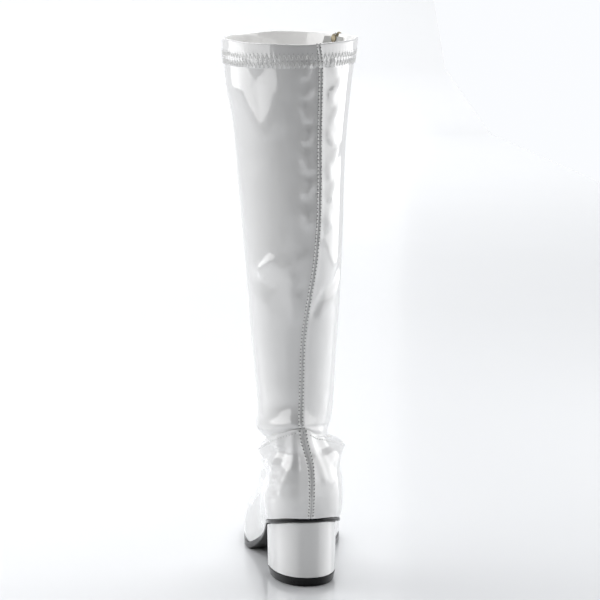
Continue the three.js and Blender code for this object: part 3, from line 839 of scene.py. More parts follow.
def sole_finish(looks):
    """Glossy black sole stock with a rubbed edge."""
    made = Finish("black sole")
    at = made.place()
    grain = made.noise(at, 900, 3)
    wear = made.noise(at, 60, 4, 0.65)
    tone = made.between(wear * wear, looks.sole, dimmed(looks.sole, 3.2))
    rough = 0.12 + wear * 0.1
    normal = made.bumped(grain, 0.00002, 0.4, made.bumped(wear, 0.0003, 0.3))
    normal = made.bumped(tread(made, at, 0.0028), 0.0003, 0.6, normal)
    return made.shade(
        Base_Color=tone, Roughness=rough, Normal=normal, Coat_Weight=0.1, Coat_Roughness=0.03,
        Specular_IOR_Level=0.3)


def lift_finish(looks):
    """Black heel tip, less glossy, speckled and rubbed."""
    made = Finish("black lift")
    at = made.place()
    speck = made.noise(at, 1500, 2, 0.7)
    wear = made.noise(at, 90, 4, 0.7)
    tone = made.between(wear, looks.lift, dimmed(looks.lift, 2.6))
    rough = 0.16 + speck * 0.14
    normal = made.bumped(speck, 0.00002, 0.5, made.bumped(wear, 0.0003, 0.3))
    normal = made.bumped(tread(made, at, 0.0022), 0.0003, 0.6, normal)
    return made.shade(Base_Color=tone, Roughness=rough, Normal=normal, Specular_IOR_Level=0.24)


def knit_finish(name, tone, across, up, depth):
    """Cloth whose threads follow the piece's own pattern, with painted shade in the weave's hollows."""
    made = Finish(name)
    along, rise, _ = made.axes(made.pattern())
    rib = made.maths("SINE", along * (2 * math.pi / across))
    row = made.maths("SINE", rise * (2 * math.pi / up))
    weave = (rib * row) * 0.5 + 0.5
    fuzz = made.noise(made.place(), 2200, 2, 0.6)
    patch = made.noise(made.place(), 30, 3)
    # painted shade: darker in the weave's hollows, mixed with random fuzz in the tone
    weave_shade_and_fuzz = made.between(weave * 0.7 + fuzz * 0.3, dimmed(tone, 0.86), tone)
    colour_out = made.between(patch * 0.4, weave_shade_and_fuzz, dimmed(tone, 0.93))
    normal = made.bumped(weave + fuzz * 0.5, depth, 0.7)
    return made.shade(
        Base_Color=colour_out, Roughness=0.82, Normal=normal, Sheen_Weight=0.25, Sheen_Roughness=0.4)


def metal_finish(looks):
    """Pale brass with a soft brushed wear."""
    made = Finish("pale brass")
    at = made.place()
    wear = made.noise(at, 260, 4, 0.65)
    tone = made.between(wear, dimmed(looks.metal, 0.72), looks.metal)
    rough = 0.2 + wear * 0.22
    normal = made.bumped(made.noise(at, 2600, 2), 0.00001, 0.5)
    return made.shade(Base_Color=tone, Roughness=rough, Metallic=1.0, Normal=normal)


def thread_finish(looks):
    """White polyester thread, twisted, with a faint painted glow."""
    made = Finish("white thread with painted glow")
    at = made.place()
    twist = made.node(
        "ShaderNodeTexWave", {"bands_direction": "DIAGONAL"},
        {"Vector": at, "Scale": 420, "Distortion": 0.6}, "Fac")
    tone = made.between(twist, dimmed(looks.thread, 0.8), looks.thread)
    normal = made.bumped(twist, 0.00008, 0.6)
    # painted glow: the emission brightens the thread as if light shone through it
    return made.shade(
        Base_Color=tone, Roughness=0.35, Normal=normal, Sheen_Weight=0.6, Sheen_Roughness=0.5,
        Coat_Weight=0.9, Coat_Roughness=0.15, Emission_Color=tone, Emission_Strength=0.12)


def hole_finish(looks):
    """The shade inside a needle hole."""
    made = Finish("needle hole shade")
    patch = made.noise(made.place(), 400, 2)
    tone = made.between(patch, looks.hole, dimmed(looks.hole, 1.6))
    return made.shade(Base_Color=tone, Roughness=0.7 + patch * 0.2)


def floor_finish(tone):
    """Pale glossy studio floor."""
    made = Finish("studio floor")
    at = made.place()
    patch = made.noise(at, 3, 2)
    base = made.between(patch, dimmed(tone, 0.99), tone)
    return made.shade(
        Base_Color=base, Roughness=0.22 + patch * 0.03, Coat_Weight=0.3, Coat_Roughness=0.08,
        Specular_IOR_Level=0.35)


# Layout of rows and columns

SEAM_STEPS = (0.0005,) * 8 + (0.0008, 0.0011, 0.0015, 0.0019)


def spread_from_back(reach, step):
    """Shares of the way round from the back seam, close together beside it."""
    stops = [0.0, *np.cumsum(SEAM_STEPS)]
    rest = int(round((reach - stops[-1]) / step))
    even = [stops[-1] + (reach - stops[-1]) * (k + 1) / rest for k in range(rest)]
    return np.array([*stops, *even]) / reach


# How far the ankle seam runs below its row of the table, by degrees from the back
SEAM_DIP = (
    (-180, 0.35), (-105, 0.7), (-56, 0.5), (-26, 0.24), (-8, 0.02), (0, 0.0),
    (6, 0.12), (15, 0.4), (40, 0.56), (75, 0.6), (125, 0.4), (180, 0.35),
)


def seam_place(form, angle):
    """Where the ankle seam runs, in rows of the table."""
    degrees = form.side_degrees(angle)
    spots = np.stack([degrees - 6, degrees, degrees + 6])
    return SEAM_ROW - np.interp(spots, *zip(*SEAM_DIP)).mean(0)


def slot_half(form, places):
    """Half the zip slot's width, which closes just below the zip."""
    return form.zip.slot / 2 * smooth((places - ZIP_START + 0.15) / 0.3)


def round_shaft(form, places, step, widen=0.0):
    """Angles of the shaft's columns, from the slot's rear edge by the back and the front to its fore edge."""
    half = (slot_half(form, places) + widen * (slot_half(form, places) > 0))[:, None]
    rows = places[:, None]
    start = form.zip_angle(rows, half)
    end = form.zip_angle(rows, -half) + 2 * math.pi
    rear = 1 - spread_from_back(0.09, step)[::-1]
    fore = spread_from_back(0.27, step)
    angles = np.concatenate([mix(start, math.pi, rear), mix(math.pi, end, fore[1:])], 1)
    return angles, len(rear) - 1


def shaft_places(form, low, high, step):
    heights = np.arange(form.ankle + 0.006, high, step)
    near_seam = np.linspace(low, form.place_at(form.ankle + 0.005), 18)
    return np.array([*near_seam, *(form.place_at(height) for height in heights), form.place_at(high)])


def seam_groove(form, places, angles):
    """The back seam: a narrow groove between two slightly raised folds."""
    across = (angles - math.pi) * form.pace(places, np.full_like(angles, math.pi))
    reach = np.abs(across)
    return -0.0006 * bump(across / 0.0005) + 0.0003 * bump((reach - 0.0024) / 0.0017)


def outward_of(form):
    """A direction away from the boot's upright middle, for face_out."""
    def towards(middle):
        out = middle - np.array([form.shaft.lean / 2, form.back - form.last.foot / 3, 0])
        out[:, 2] = 0
        return out
    return towards


class BootPiece:
    """Shared by the boot's operators."""

    bl_options = {"REGISTER", "UNDO"}

    @classmethod
    def poll(cls, context):
        return context.scene is not None


class BOOT_OT_finishes(BootPiece, bpy.types.Operator):
    """Makes the boot's procedural finishes"""

    bl_idname = "boot.finishes"
    bl_label = "Finishes"

    def execute(self, context):
        looks = context.scene.boot_looks
        patent_finish(looks)
        # the hem's material carries a painted glow on its turned-in face
        patent_finish(looks, "hem patent with painted glow", context.scene.boot_shaft.hem + 0.0018)
        sole_finish(looks)
        lift_finish(looks)
        knit_finish("backing cloth", looks.lining, 0.0016, 0.0012, 0.00018)
        knit_finish("zip tape weave", looks.tape, 0.0011, 0.0008, 0.00015)
        metal_finish(looks)
        thread_finish(looks)
        hole_finish(looks)
        return {"FINISHED"}


class BOOT_OT_shaft(BootPiece, bpy.types.Operator):
    """Makes the leg's stretch patent, its folded hem and its lining"""

    bl_idname = "boot.shaft"
    bl_label = "Shaft"

    def execute(self, context):
        form = Form(context.scene)
        self.leg(form)
        self.hem(form, context.scene.boot_stitch)
        self.lining(form)
        return {"FINISHED"}

    def leg(self, form):
        places = shaft_places(form, SEAM_ROW - 0.3, form.rim - 0.0015, 0.0021)
        angles, back = round_shaft(form, places, 0.0022)
        dip = (SEAM_ROW - seam_place(form, angles)) * smooth(1 - (places[:, None] - SEAM_ROW) / 2)
        rows = places[:, None] - dip
        tucked = -0.0009 * bump((rows - seam_place(form, angles) - 0.02) / 0.12)
        points = form.skin(rows, angles, tucked + seam_groove(form, rows, angles))
        piece = sheet("shaft_skin", points, pattern_of(points, back))
        face_out(piece, outward_of(form))
        apply_modifier(piece, "SOLIDIFY", thickness=form.last.skin, offset=-1)
        settle(piece, "boot", "patent", "white patent", "upper")

    def hem(self, form, sizes):
        top, low = form.rim, form.rim - form.shaft.hem
        skin, step = form.last.skin, form.shaft.hem_step
        inner = -1.5 * form.last.skin - 0.0009
        profile = [
            (low + 0.0002, -0.0003), (low, 0.0), (low + 0.001, step * 0.25), (low + 0.0025, step * 0.75),
            *((low + 0.0025 + k * 0.0011, step) for k in range(1, 14)),
            (top - 0.0012, step), (top - 0.0006, step - 0.0001), (top - 0.0002, step - 0.0004),
            (top, step - 0.0009), (top - 0.0001, inner + 0.0007), (top - 0.0006, inner + 0.0001),
            (top - 0.0016, inner), (top - 0.006, inner), (low + 0.003, inner), (low + 0.0016, inner - 0.0001),
            (low + 0.001, inner + 0.0002), (low + 0.0015, inner + skin), (top - 0.003, inner + skin),
            (top - 0.0022, inner + skin + 0.0003), (top - 0.0022, 0.0001), (low + 0.0002, -0.0003),
        ]
        heights, lifts = np.array(profile).T
        places = np.array([form.place_at(height) for height in heights])
        columns, zero_column = 430, 100
        half = form.zip.slot / 2
        start = form.zip_angle(places[:, None], half)
        end = form.zip_angle(places[:, None], -half) + 2 * math.pi
        angles = mix(start, end, np.linspace(0, 1, columns)[None])
        rows = places[:, None] + 0 * angles
        across = (angles - math.pi) * form.pace(rows, np.full_like(angles, math.pi))
        outside = (lifts > 0.0002)[:, None]
        seam = np.where(outside, -0.0004 * bump(across / 0.0006), 0)
        stitched = top - sizes.zigzag_drop - sizes.zigzag_height
        ripple = 0.00014 * np.sin(across * 2 * math.pi / sizes.zigzag) * bump(
            (heights[:, None] - stitched) / 0.006)
        points = form.skin(rows, angles, lifts[:, None] + seam + np.where(outside, ripple, 0))
        points[..., 2] += (heights[:, None] > top - 0.003) * self.rim_wave(angles)
        piece = sheet("hem_band", points, pattern_of(points, zero_column))
        in_edit(piece, lambda: bpy.ops.mesh.fill_holes(sides=0))
        closed_out(piece)
        settle(piece, "boot", "patent", "hem patent with painted glow", "upper")

    @staticmethod
    def rim_wave(angles):
        return 0.0004 * np.sin(3 * angles + 0.6) + 0.00025 * np.sin(7 * angles)

    def lining(self, form):
        high = form.rim - 0.014
        heights = np.arange(form.ankle + 0.006, high, 0.004)
        places = np.array([
            *np.linspace(0.12, form.place_at(form.ankle + 0.003), 34),
            *(form.place_at(height) for height in heights), form.place_at(high)])
        angles, back = round_shaft(form, places, 0.0042, 0.0008)
        points = form.skin(places[:, None], angles, -0.0009)
        piece = sheet("lining", points, pattern_of(points, back))
        face_out(piece, outward_of(form))
        apply_modifier(piece, "SOLIDIFY", thickness=0.0006, offset=-1)
        settle(piece, "boot", "lining", "backing cloth", "upper")


class BOOT_OT_foot(BootPiece, bpy.types.Operator):
    """Makes the foot part below the ankle seam, and the inner sole"""

    bl_idname = "boot.foot"
    bl_label = "Foot part"

    def execute(self, context):
        form = Form(context.scene)
        self.quarters(form)
        self.insole(form)
        return {"FINISHED"}

    def quarters(self, form):
        shares = spread_from_back(0.3, 0.0024)
        angles = math.pi * (1 + np.concatenate([shares, 2 - shares[-2::-1]]))
        places = np.array([
            *np.linspace(0, 0.5, 7), *np.linspace(0.6, 7.7, 52), *np.linspace(7.76, SEAM_ROW, 9)])
        rows, columns = np.meshgrid(places, angles, indexing="ij")
        lift = form.last.step * smooth(rows) - 0.0007 * smooth((rows - 7.86) / 0.14)
        rows = rows - (SEAM_ROW - seam_place(form, columns)) * smooth((rows - SEAM_ROW + 3) / 3)
        lift = lift + seam_groove(form, rows, np.where(columns > 2 * math.pi, columns - 2 * math.pi, columns))
        face = form.skin(rows, columns, lift)
        turned = [self.turned_in(form, angles, inset) for inset in (form.last.margin, 0.005, 0.0018)]
        points = np.concatenate([np.stack(turned), face])
        piece = sheet("foot_skin", points, pattern_of(points))
        face_out(piece, outward_of(form))
        apply_modifier(piece, "SOLIDIFY", thickness=form.last.skin, offset=-1)
        settle(piece, "boot", "patent", "white patent", "upper", angle=50)

    @staticmethod
    def turned_in(form, angles, inset):
        edge = form.last_point(np.zeros_like(angles), angles)
        part = np.clip((form.back - edge[:, 1]) / form.last.foot, 0.12, 0.84)
        centre = np.stack([form.middle_line(part), form.back - part * form.last.foot, edge[:, 2]], -1)
        moved = edge + unit((centre - edge) * (1, 1, 0)) * inset
        foot = np.clip((form.back - moved[:, 1]) / form.last.foot, 0, 1)
        moved[:, 2] = form.sole_top(foot) + form.last.gap
        return moved

    def insole(self, form):
        base = form.last.gap * 2 + 0.0018
        thick = form.sole.insole
        angles = np.linspace(0, 2 * math.pi, 121) + math.pi
        # squeeze towards the middle line, height above the underside
        levels = [(k, 0.0) for k in (0.0, 0.35, 0.7, 0.93)]
        levels += [(1.0, 0.0003), (1.0, thick - 0.0004), (0.985, thick)]
        levels += [(k, thick) for k in (0.94, 0.9, 0.7, 0.5, 0.25, 0.0)]
        rings = []
        for squeeze, rise in levels:
            ring = form.squeezed_ring(lambda part: -0.003 + 0 * part, form.sole_top, angles, squeeze)
            ring[:, 2] += base + rise - 0.0004 * bump((squeeze - 0.92) / 0.02) * (rise >= thick)
            rings.append(ring)
        points = np.stack(rings)
        piece = sheet("sock_lining", points, pattern_of(points))
        closed_out(piece)
        settle(piece, "boot", "lining", "backing cloth", "insole", angle=50)


class BOOT_OT_sole(BootPiece, bpy.types.Operator):
    """Makes the outsole, the covered heel and its top piece"""

    bl_idname = "boot.sole"
    bl_label = "Sole and heel"

    def execute(self, context):
        form = Form(context.scene)
        self.outsole(form)
        self.heel(form)
        self.lift(form)
        return {"FINISHED"}

    def outsole(self, form):
        sole = form.sole

        def edge(part):
            return mix(sole.rear_edge, sole.edge, form.fore_share(part))

        angles = np.linspace(0, 2 * math.pi, 241) + math.pi
        bevel = sole.bevel
        # squeeze towards the middle line, edge inset, height above the underside or below the top
        levels = [(k, bevel, "under", 0.0) for k in (0.0, 0.2, 0.4, 0.6, 0.8, 0.92)]
        levels += [
            (1, bevel, "under", 0.0), (1, bevel * 0.4, "under", bevel * 0.12),
            (1, bevel * 0.1, "under", bevel * 0.45), (1, 0, "under", bevel), (1, 0, "top", 0.0009),
            (1, 0.00008, "top", 0.0005), (1, 0.0003, "top", 0.00012), (1, 0.0006, "top", 0.0),
        ]
        levels += [(k, 0.0006, "top", 0.0) for k in (0.92, 0.8, 0.6, 0.4, 0.2, 0.0)]
        rings = []
        for squeeze, inset, side, rise in levels:
            level = form.sole_under if side == "under" else form.sole_top
            ring = form.squeezed_ring(lambda part: edge(part) - inset, level, angles, squeeze)
            ring[:, 2] += rise if side == "under" else -rise
            rings.append(ring)
        piece = sheet("outsole_moulded", np.stack(rings), weld=1e-5)
        closed_out(piece)
        settle(piece, "boot", "sole", "black sole", "outsole", angle=40)

    @staticmethod
    def heel_ring(form, inset, level):
        """A D with a flat breast, from the breast's middle round by the inner side."""
        sole = form.sole
        width, depth = sole.heel_width / 2 - inset, sole.heel_depth - 2 * inset
        corner, half, roundness = 6, 58, 2 / 2.24
        step = np.concatenate([np.arange(half + 1), np.arange(half - 1, -1, -1)])
        turn = np.clip((step - corner) / (half - corner), 0, 1) * (math.pi / 2)
        reach = np.cos(turn) ** roundness * np.minimum(1, step / corner)
        run = 1 - np.sin(turn) ** roundness
        side = np.where(np.arange(len(step)) <= half, -1, 1)
        y = sole.heel_depth / 2 - inset - run * depth
        return np.stack([side * reach * width, y, level((form.back - y) / form.last.foot) + 0 * y], -1)

    def block(self, form, name, levels, finish, node, slot):
        rings = []
        for squeeze, inset, level in levels:
            ring = self.heel_ring(form, inset, level)
            ring[:, 0] *= squeeze
            rings.append(ring)
        piece = sheet(name, np.stack(rings), weld=1e-5)
        closed_out(piece)
        rounded(piece, 0.0007)
        settle(piece, "boot", slot, finish, node, angle=40)

    def heel(self, form):
        low, gap, taper = form.sole.lift, form.last.gap, form.sole.heel_taper

        def under(drop):
            return lambda foot: form.sole_under(foot) - gap - drop

        def over(rise):
            return lambda foot: low + gap + rise + 0 * foot

        def between(part):
            return lambda foot: mix(over(0.0004)(foot), under(0.0005)(foot), part)

        levels = [(k, taper + 0.0004, over(0)) for k in (0.0, 0.3, 0.6, 0.9)]
        levels += [(1, taper + 0.0004, over(0)), (1, taper, over(0.0004))]
        levels += [(1, mix(taper, 0, k / 6), between(k / 6)) for k in range(1, 6)]
        levels += [(1, 0, under(0.0005)), (1, 0.0005, under(0))]
        levels += [(k, 0.0005, under(0)) for k in (0.9, 0.6, 0.3, 0.0)]
        self.block(form, "heel_cover", levels, "white patent", "heel", "patent")

    def lift(self, form):
        taper, bevel, thick = form.sole.heel_taper, form.sole.bevel, form.sole.lift

        def at(rise):
            return lambda foot: rise + 0 * foot

        draw = taper + form.sole.lift_draw
        levels = [(k, draw + bevel, at(0)) for k in (0.0, 0.3, 0.6, 0.9)]
        levels += [
            (1, draw + bevel, at(0)), (1, draw + bevel * 0.3, at(bevel * 0.3)), (1, draw, at(bevel)),
            (1, taper, at(thick - 0.0004)), (1, taper + 0.0004, at(thick)),
        ]
        levels += [(k, taper + 0.0004, at(thick)) for k in (0.9, 0.6, 0.3, 0.0)]
        self.block(form, "heel_top_piece", levels, "black lift", "heel_lift", "lift")


class BOOT_OT_zip(BootPiece, bpy.types.Operator):
    """Makes the zip's tapes and teeth, its slider and its pull"""

    bl_idname = "boot.zip"
    bl_label = "Zip"

    def execute(self, context):
        form = Form(context.scene)
        self.tapes(form)
        self.teeth(form)
        self.slider(form)
        self.pull(form)
        return {"FINISHED"}

    def tapes(self, form):
        heights = np.arange(form.row(ZIP_START - 0.25)["back_z"], form.rim - 0.002, 0.003)
        places = np.array([form.place_at(height) for height in heights])[:, None]
        for name, sign in (("zip_tape_rear", 1), ("zip_tape_fore", -1)):
            across = sign * np.array([0.0004, 0.0012, 0.003, 0.005, 0.007, 0.009, 0.011, form.zip.tape / 2])
            lift = -0.0024 - 0.00015 * bump((np.abs(across) - 0.009) / 0.001)
            points = form.skin(places, form.zip_angle(places, across[None]), lift[None])
            piece = sheet(name, points, pattern_of(points))
            face_out(piece, outward_of(form))
            apply_modifier(piece, "SOLIDIFY", thickness=0.0006, offset=-1)
            settle(piece, "boot", "zip_tape", "zip tape weave", "zip")

    @staticmethod
    def tooth_model():
        piece = added(bpy.ops.mesh.primitive_cube_add, size=1)
        in_edit(piece, lambda: bpy.ops.mesh.bevel(offset=0.16, segments=1, affect="EDGES"))
        return base_mesh(piece)

    def teeth(self, form):
        low = form.row(ZIP_START - 0.05)["back_z"]
        heights = np.arange(low, form.rim - 0.0035, form.zip.pitch / 2)
        places = np.array([form.place_at(height) for height in heights])
        signs = np.where(np.arange(len(places)) % 2, 1.0, -1.0)
        angles = form.zip_angle(places, signs * 0.0009)
        centres = form.skin(places, angles, -0.0013)
        out = form.outward(places, angles)
        across = unit(form.skin(places, angles + 0.01, -0.0013) - centres)
        up = unit(np.cross(out, across))
        axes = np.stack([across * 0.0034, up * 0.0013, unit(np.cross(across, up)) * 0.0018], 1)
        piece = joined_copies("zip_teeth", self.tooth_model(), centres, axes)
        closed_out(piece)
        settle(piece, "boot", "zip_tape", "white thread with painted glow", "zip")

    @staticmethod
    def seat(form):
        """The slider's place and directions: out of the leg, along the wall and up the zip."""
        place = np.array(form.place_at(form.shaft.top - form.zip.drop))
        angle = form.zip_angle(place)
        at = Vector(form.skin(place, angle, form.shaft.hem_step))
        face = Vector(form.outward(place, angle))
        along = Vector((-face.y, face.x, 0)).normalized()
        return at, face, along, face.cross(along).normalized()

    @staticmethod
    def set_down(piece, origin, axes):
        """Moves a piece modelled at the origin into its place, and keeps its object at the origin."""
        turn = Matrix([(*(axis[row] for axis in axes), origin[row]) for row in range(3)] + [(0, 0, 0, 1)])
        piece.data.transform(turn)
        piece.data.update()

    def slider(self, form):
        at, face, along, up = self.seat(form)
        piece = self.plate(0.0011, 0.0016, 0.004, 0.006, 0.16, 0.0005, 3)
        piece.name = "zip_slider_body"
        piece.data.name = piece.name
        parts = [piece, self.plate(-0.0042, 0.0011, 0.0028, 0.0036, 0, 0.0003, 2), self.bail()]
        bpy.ops.object.select_all(action="DESELECT")
        for part in parts:
            part.select_set(True)
        bpy.context.view_layer.objects.active = piece
        bpy.ops.object.join()
        self.set_down(piece, at, (face, along, up))
        closed_out(piece)
        settle(piece, "boot", "metal", "pale brass", "zip_slider", angle=40)

    @staticmethod
    def plate(out, thick, half_width, half_height, waist, bevel, segments):
        """One oval plate of the slider, out metres outside the wall, drawn in at its waist."""
        plate = added(
            bpy.ops.mesh.primitive_cylinder_add, vertices=40, radius=1, depth=1, end_fill_type="NGON")
        for vertex in plate.data.vertices:
            x, y, z = vertex.co
            breadth = half_width * (1 - waist * math.exp(-((x + 0.35) / 0.3) ** 2))
            vertex.co = (out + z * thick, y * breadth, x * half_height)
        rounded(plate, bevel, segments)
        return plate

    @staticmethod
    def bail():
        """The wire over the slider that carries the pull: a flat bar bent from foot to foot."""
        wire = added(bpy.ops.mesh.primitive_circle_add, vertices=14, radius=0.00045, fill_type="NGON")
        reach, base, high, flatness = 0.00355, 0.0018, 0.00455, 2.3
        for vertex in wire.data.vertices:
            x, y, _ = vertex.co
            vertex.co = (base, y * flatness, -reach + x)
        steps = [(high - 0.0009 - base, 0.0), (0.0005, 0.0002), (0.0002, 0.0005)]
        across = [(0.0, 2 * reach - 0.0014)]
        down = [(-x, z) for x, z in reversed(steps)]
        turns = (0, 22, 45, 23, 22, 45, 23)
        only(wire)
        bpy.ops.object.mode_set(mode="EDIT")
        bpy.ops.mesh.select_all(action="SELECT")
        level = [base, -reach]
        for (x, z), degrees in zip(steps + across + down, turns):
            bpy.ops.mesh.extrude_region_move(TRANSFORM_OT_translate={"value": (x, 0, z)})
            level = [level[0] + x, level[1] + z]
            if degrees:
                bpy.ops.transform.rotate(
                    value=-math.radians(degrees), orient_axis="Y", center_override=(level[0], 0, level[1]))
        bpy.ops.object.mode_set(mode="OBJECT")
        return wire

    def pull(self, form):
        at, face, along, _ = self.seat(form)
        level = Vector((face.x, face.y, 0)).normalized()
        hinge = at + face * (form.last.gap + 0.0016 + (0.0032 - 0.0009) / 2)
        piece = added(bpy.ops.mesh.primitive_grid_add, x_subdivisions=6, y_subdivisions=22, size=1)
        piece.name = "zip_pull_tab"
        piece.data.name = piece.name
        wide, tall, top = 0.0056, 0.0306, 0.0006
        for vertex in piece.data.vertices:
            x, y, _ = vertex.co
            down = (0.5 - y) * tall
            taper = 1 - 0.16 * smooth((down - 0.006) / 0.006) + 0.16 * smooth((down - 0.013) / 0.013)
            vertex.co = (0, x * wide * float(taper), top - down)
        # half width, foot and top of the window for the bail and of the eye at the tab's end
        openings = ((0.0017, -0.0052, -0.0006), (0.0011, -0.0278, -0.0246))
        cut = [
            face.index for face in piece.data.polygons
            if any(abs(face.center.y) < half and low < face.center.z < high for half, low, high in openings)]
        only(piece)
        bpy.ops.object.mode_set(mode="EDIT")
        bpy.ops.mesh.select_mode(type="FACE")
        bpy.ops.mesh.select_all(action="DESELECT")
        bpy.ops.object.mode_set(mode="OBJECT")
        for index in cut:
            piece.data.polygons[index].select = True
        bpy.ops.object.mode_set(mode="EDIT")
        bpy.ops.mesh.delete(type="FACE")
        bpy.ops.object.mode_set(mode="OBJECT")
        apply_modifier(piece, "SOLIDIFY", thickness=0.0012, offset=0)
        rounded(piece, 0.0003, 2)
        apply_modifier(piece, "SUBSURF", levels=1, render_levels=1)
        closed_out(piece)
        self.set_down(piece, hinge, (level, along, Vector((0, 0, 1))))
        settle(piece, "pull", "metal", "pale brass", "zip_pull", angle=40)


class BOOT_OT_stitching(BootPiece, bpy.types.Operator):
    """Sews the seams: the hem's zigzags and the back, ankle and zip rows"""

    bl_idname = "boot.stitching"
    bl_label = "Stitching"

    def execute(self, context):
        form = Form(context.scene)
        sizes = context.scene.boot_stitch
        self.back_rows(form, sizes)
        self.ankle_row(form, sizes)
        self.zip_rows(form, sizes)
        self.zigzags(form, sizes)
        return {"FINISHED"}

    def row(self, form, sizes, name, places, angles, lift, pitch=None, slant=0.0, girth=1.0):
        """One straight row of stitches and its needle holes."""
        points = form.skin(places, angles, lift)
        normals = form.outward(places, angles)
        stops, out = walk(points, normals, pitch or sizes.pitch)
        across = unit(np.cross(out[:-1], np.diff(stops, axis=0))) * slant
        rise = out[:-1] * sizes.thread * girth * 0.1
        stitches(name, stops[:-1] + rise - across, stops[1:] + rise + across, out[:-1], sizes.thread * girth)
        holes(name + "_holes", stops, out, sizes.thread * min(girth, 1.5) * 1.3)

    def back_rows(self, form, sizes):
        leg = np.linspace(SEAM_ROW + 0.12, form.place_at(form.rim - form.shaft.hem - 0.0003), 500)
        hem = np.linspace(form.place_at(form.rim - form.shaft.hem + 0.0025), COLLAR_ROW - 0.02, 60)
        heel = np.linspace(0.12, SEAM_ROW - 0.2, 300)
        back = math.pi
        for side, word in ((-1, "inner"), (1, "outer")):
            for part, places, gap, lift, slant, girth in (
                    ("leg", leg, sizes.rows, 0.0004, 0.0, 1.5),
                    ("hem", hem, sizes.rows, form.shaft.hem_step + 0.0001, 0.0, 1.5),
                    ("heel", heel, sizes.counter_rows, form.last.step + 0.0005, 0.0011, 2.0)):
                angles = back + side * gap / 2 / form.pace(places, np.full_like(places, back))
                name = f"back_seam_{part}_{word}"
                self.row(form, sizes, name, places, angles, lift, None, side * slant, girth)

    def ankle_row(self, form, sizes):
        angles = np.linspace(0, 2 * math.pi, 500)
        places = seam_place(form, angles) - 0.28
        self.row(form, sizes, "ankle_seam", places, angles, form.last.step, 0.0032, 0.0, 1.0)

    def zip_rows(self, form, sizes):
        leg = np.linspace(ZIP_START, form.place_at(form.rim - form.shaft.hem - 0.0005), 400)
        near, far = 0.0048, 0.0108
        for word, across in (("rear", near), ("fore", -near), ("rear_outer", far), ("fore_outer", -far)):
            self.row(form, sizes, f"zip_seam_{word}", leg, form.zip_angle(leg, across), 0.0, 0.0028)

    def zigzags(self, form, sizes):
        top = form.rim - sizes.zigzag_drop
        lift = form.shaft.hem_step + 0.00005
        middle = form.place_at(top - sizes.zigzag_height)
        start = float(form.zip_angle(middle, 0.0046))
        end = float(form.zip_angle(middle, -0.0046)) + 2 * math.pi
        angles = np.linspace(start, end, 900)
        places = np.full_like(angles, middle)
        ring = form.skin(places, angles, 0.0)
        run = np.concatenate([[0], np.cumsum(np.linalg.norm(np.diff(ring, axis=0), axis=-1))])
        count = 2 * int(round(run[-1] / sizes.zigzag))
        turns = np.interp(np.linspace(0, run[-1], count + 1), run, angles)
        odd = np.arange(count + 1) % 2 == 1
        for word, high, low in (
                ("upper", top, top - sizes.zigzag_height),
                ("lower", top - 2 * sizes.zigzag_height, top - sizes.zigzag_height)):
            levels = np.where(odd, form.place_at(high), form.place_at(low))
            stops = form.skin(levels, turns, lift)
            out = form.outward(levels, turns)
            sunk = stops - out * sizes.thread * 0.3
            name = f"hem_zigzag_{word}"
            stitches(name, sunk[:-1], sunk[1:], out[:-1], sizes.thread * 1.15, fill=0.94)
            holes(name + "_holes", stops, out, sizes.thread)


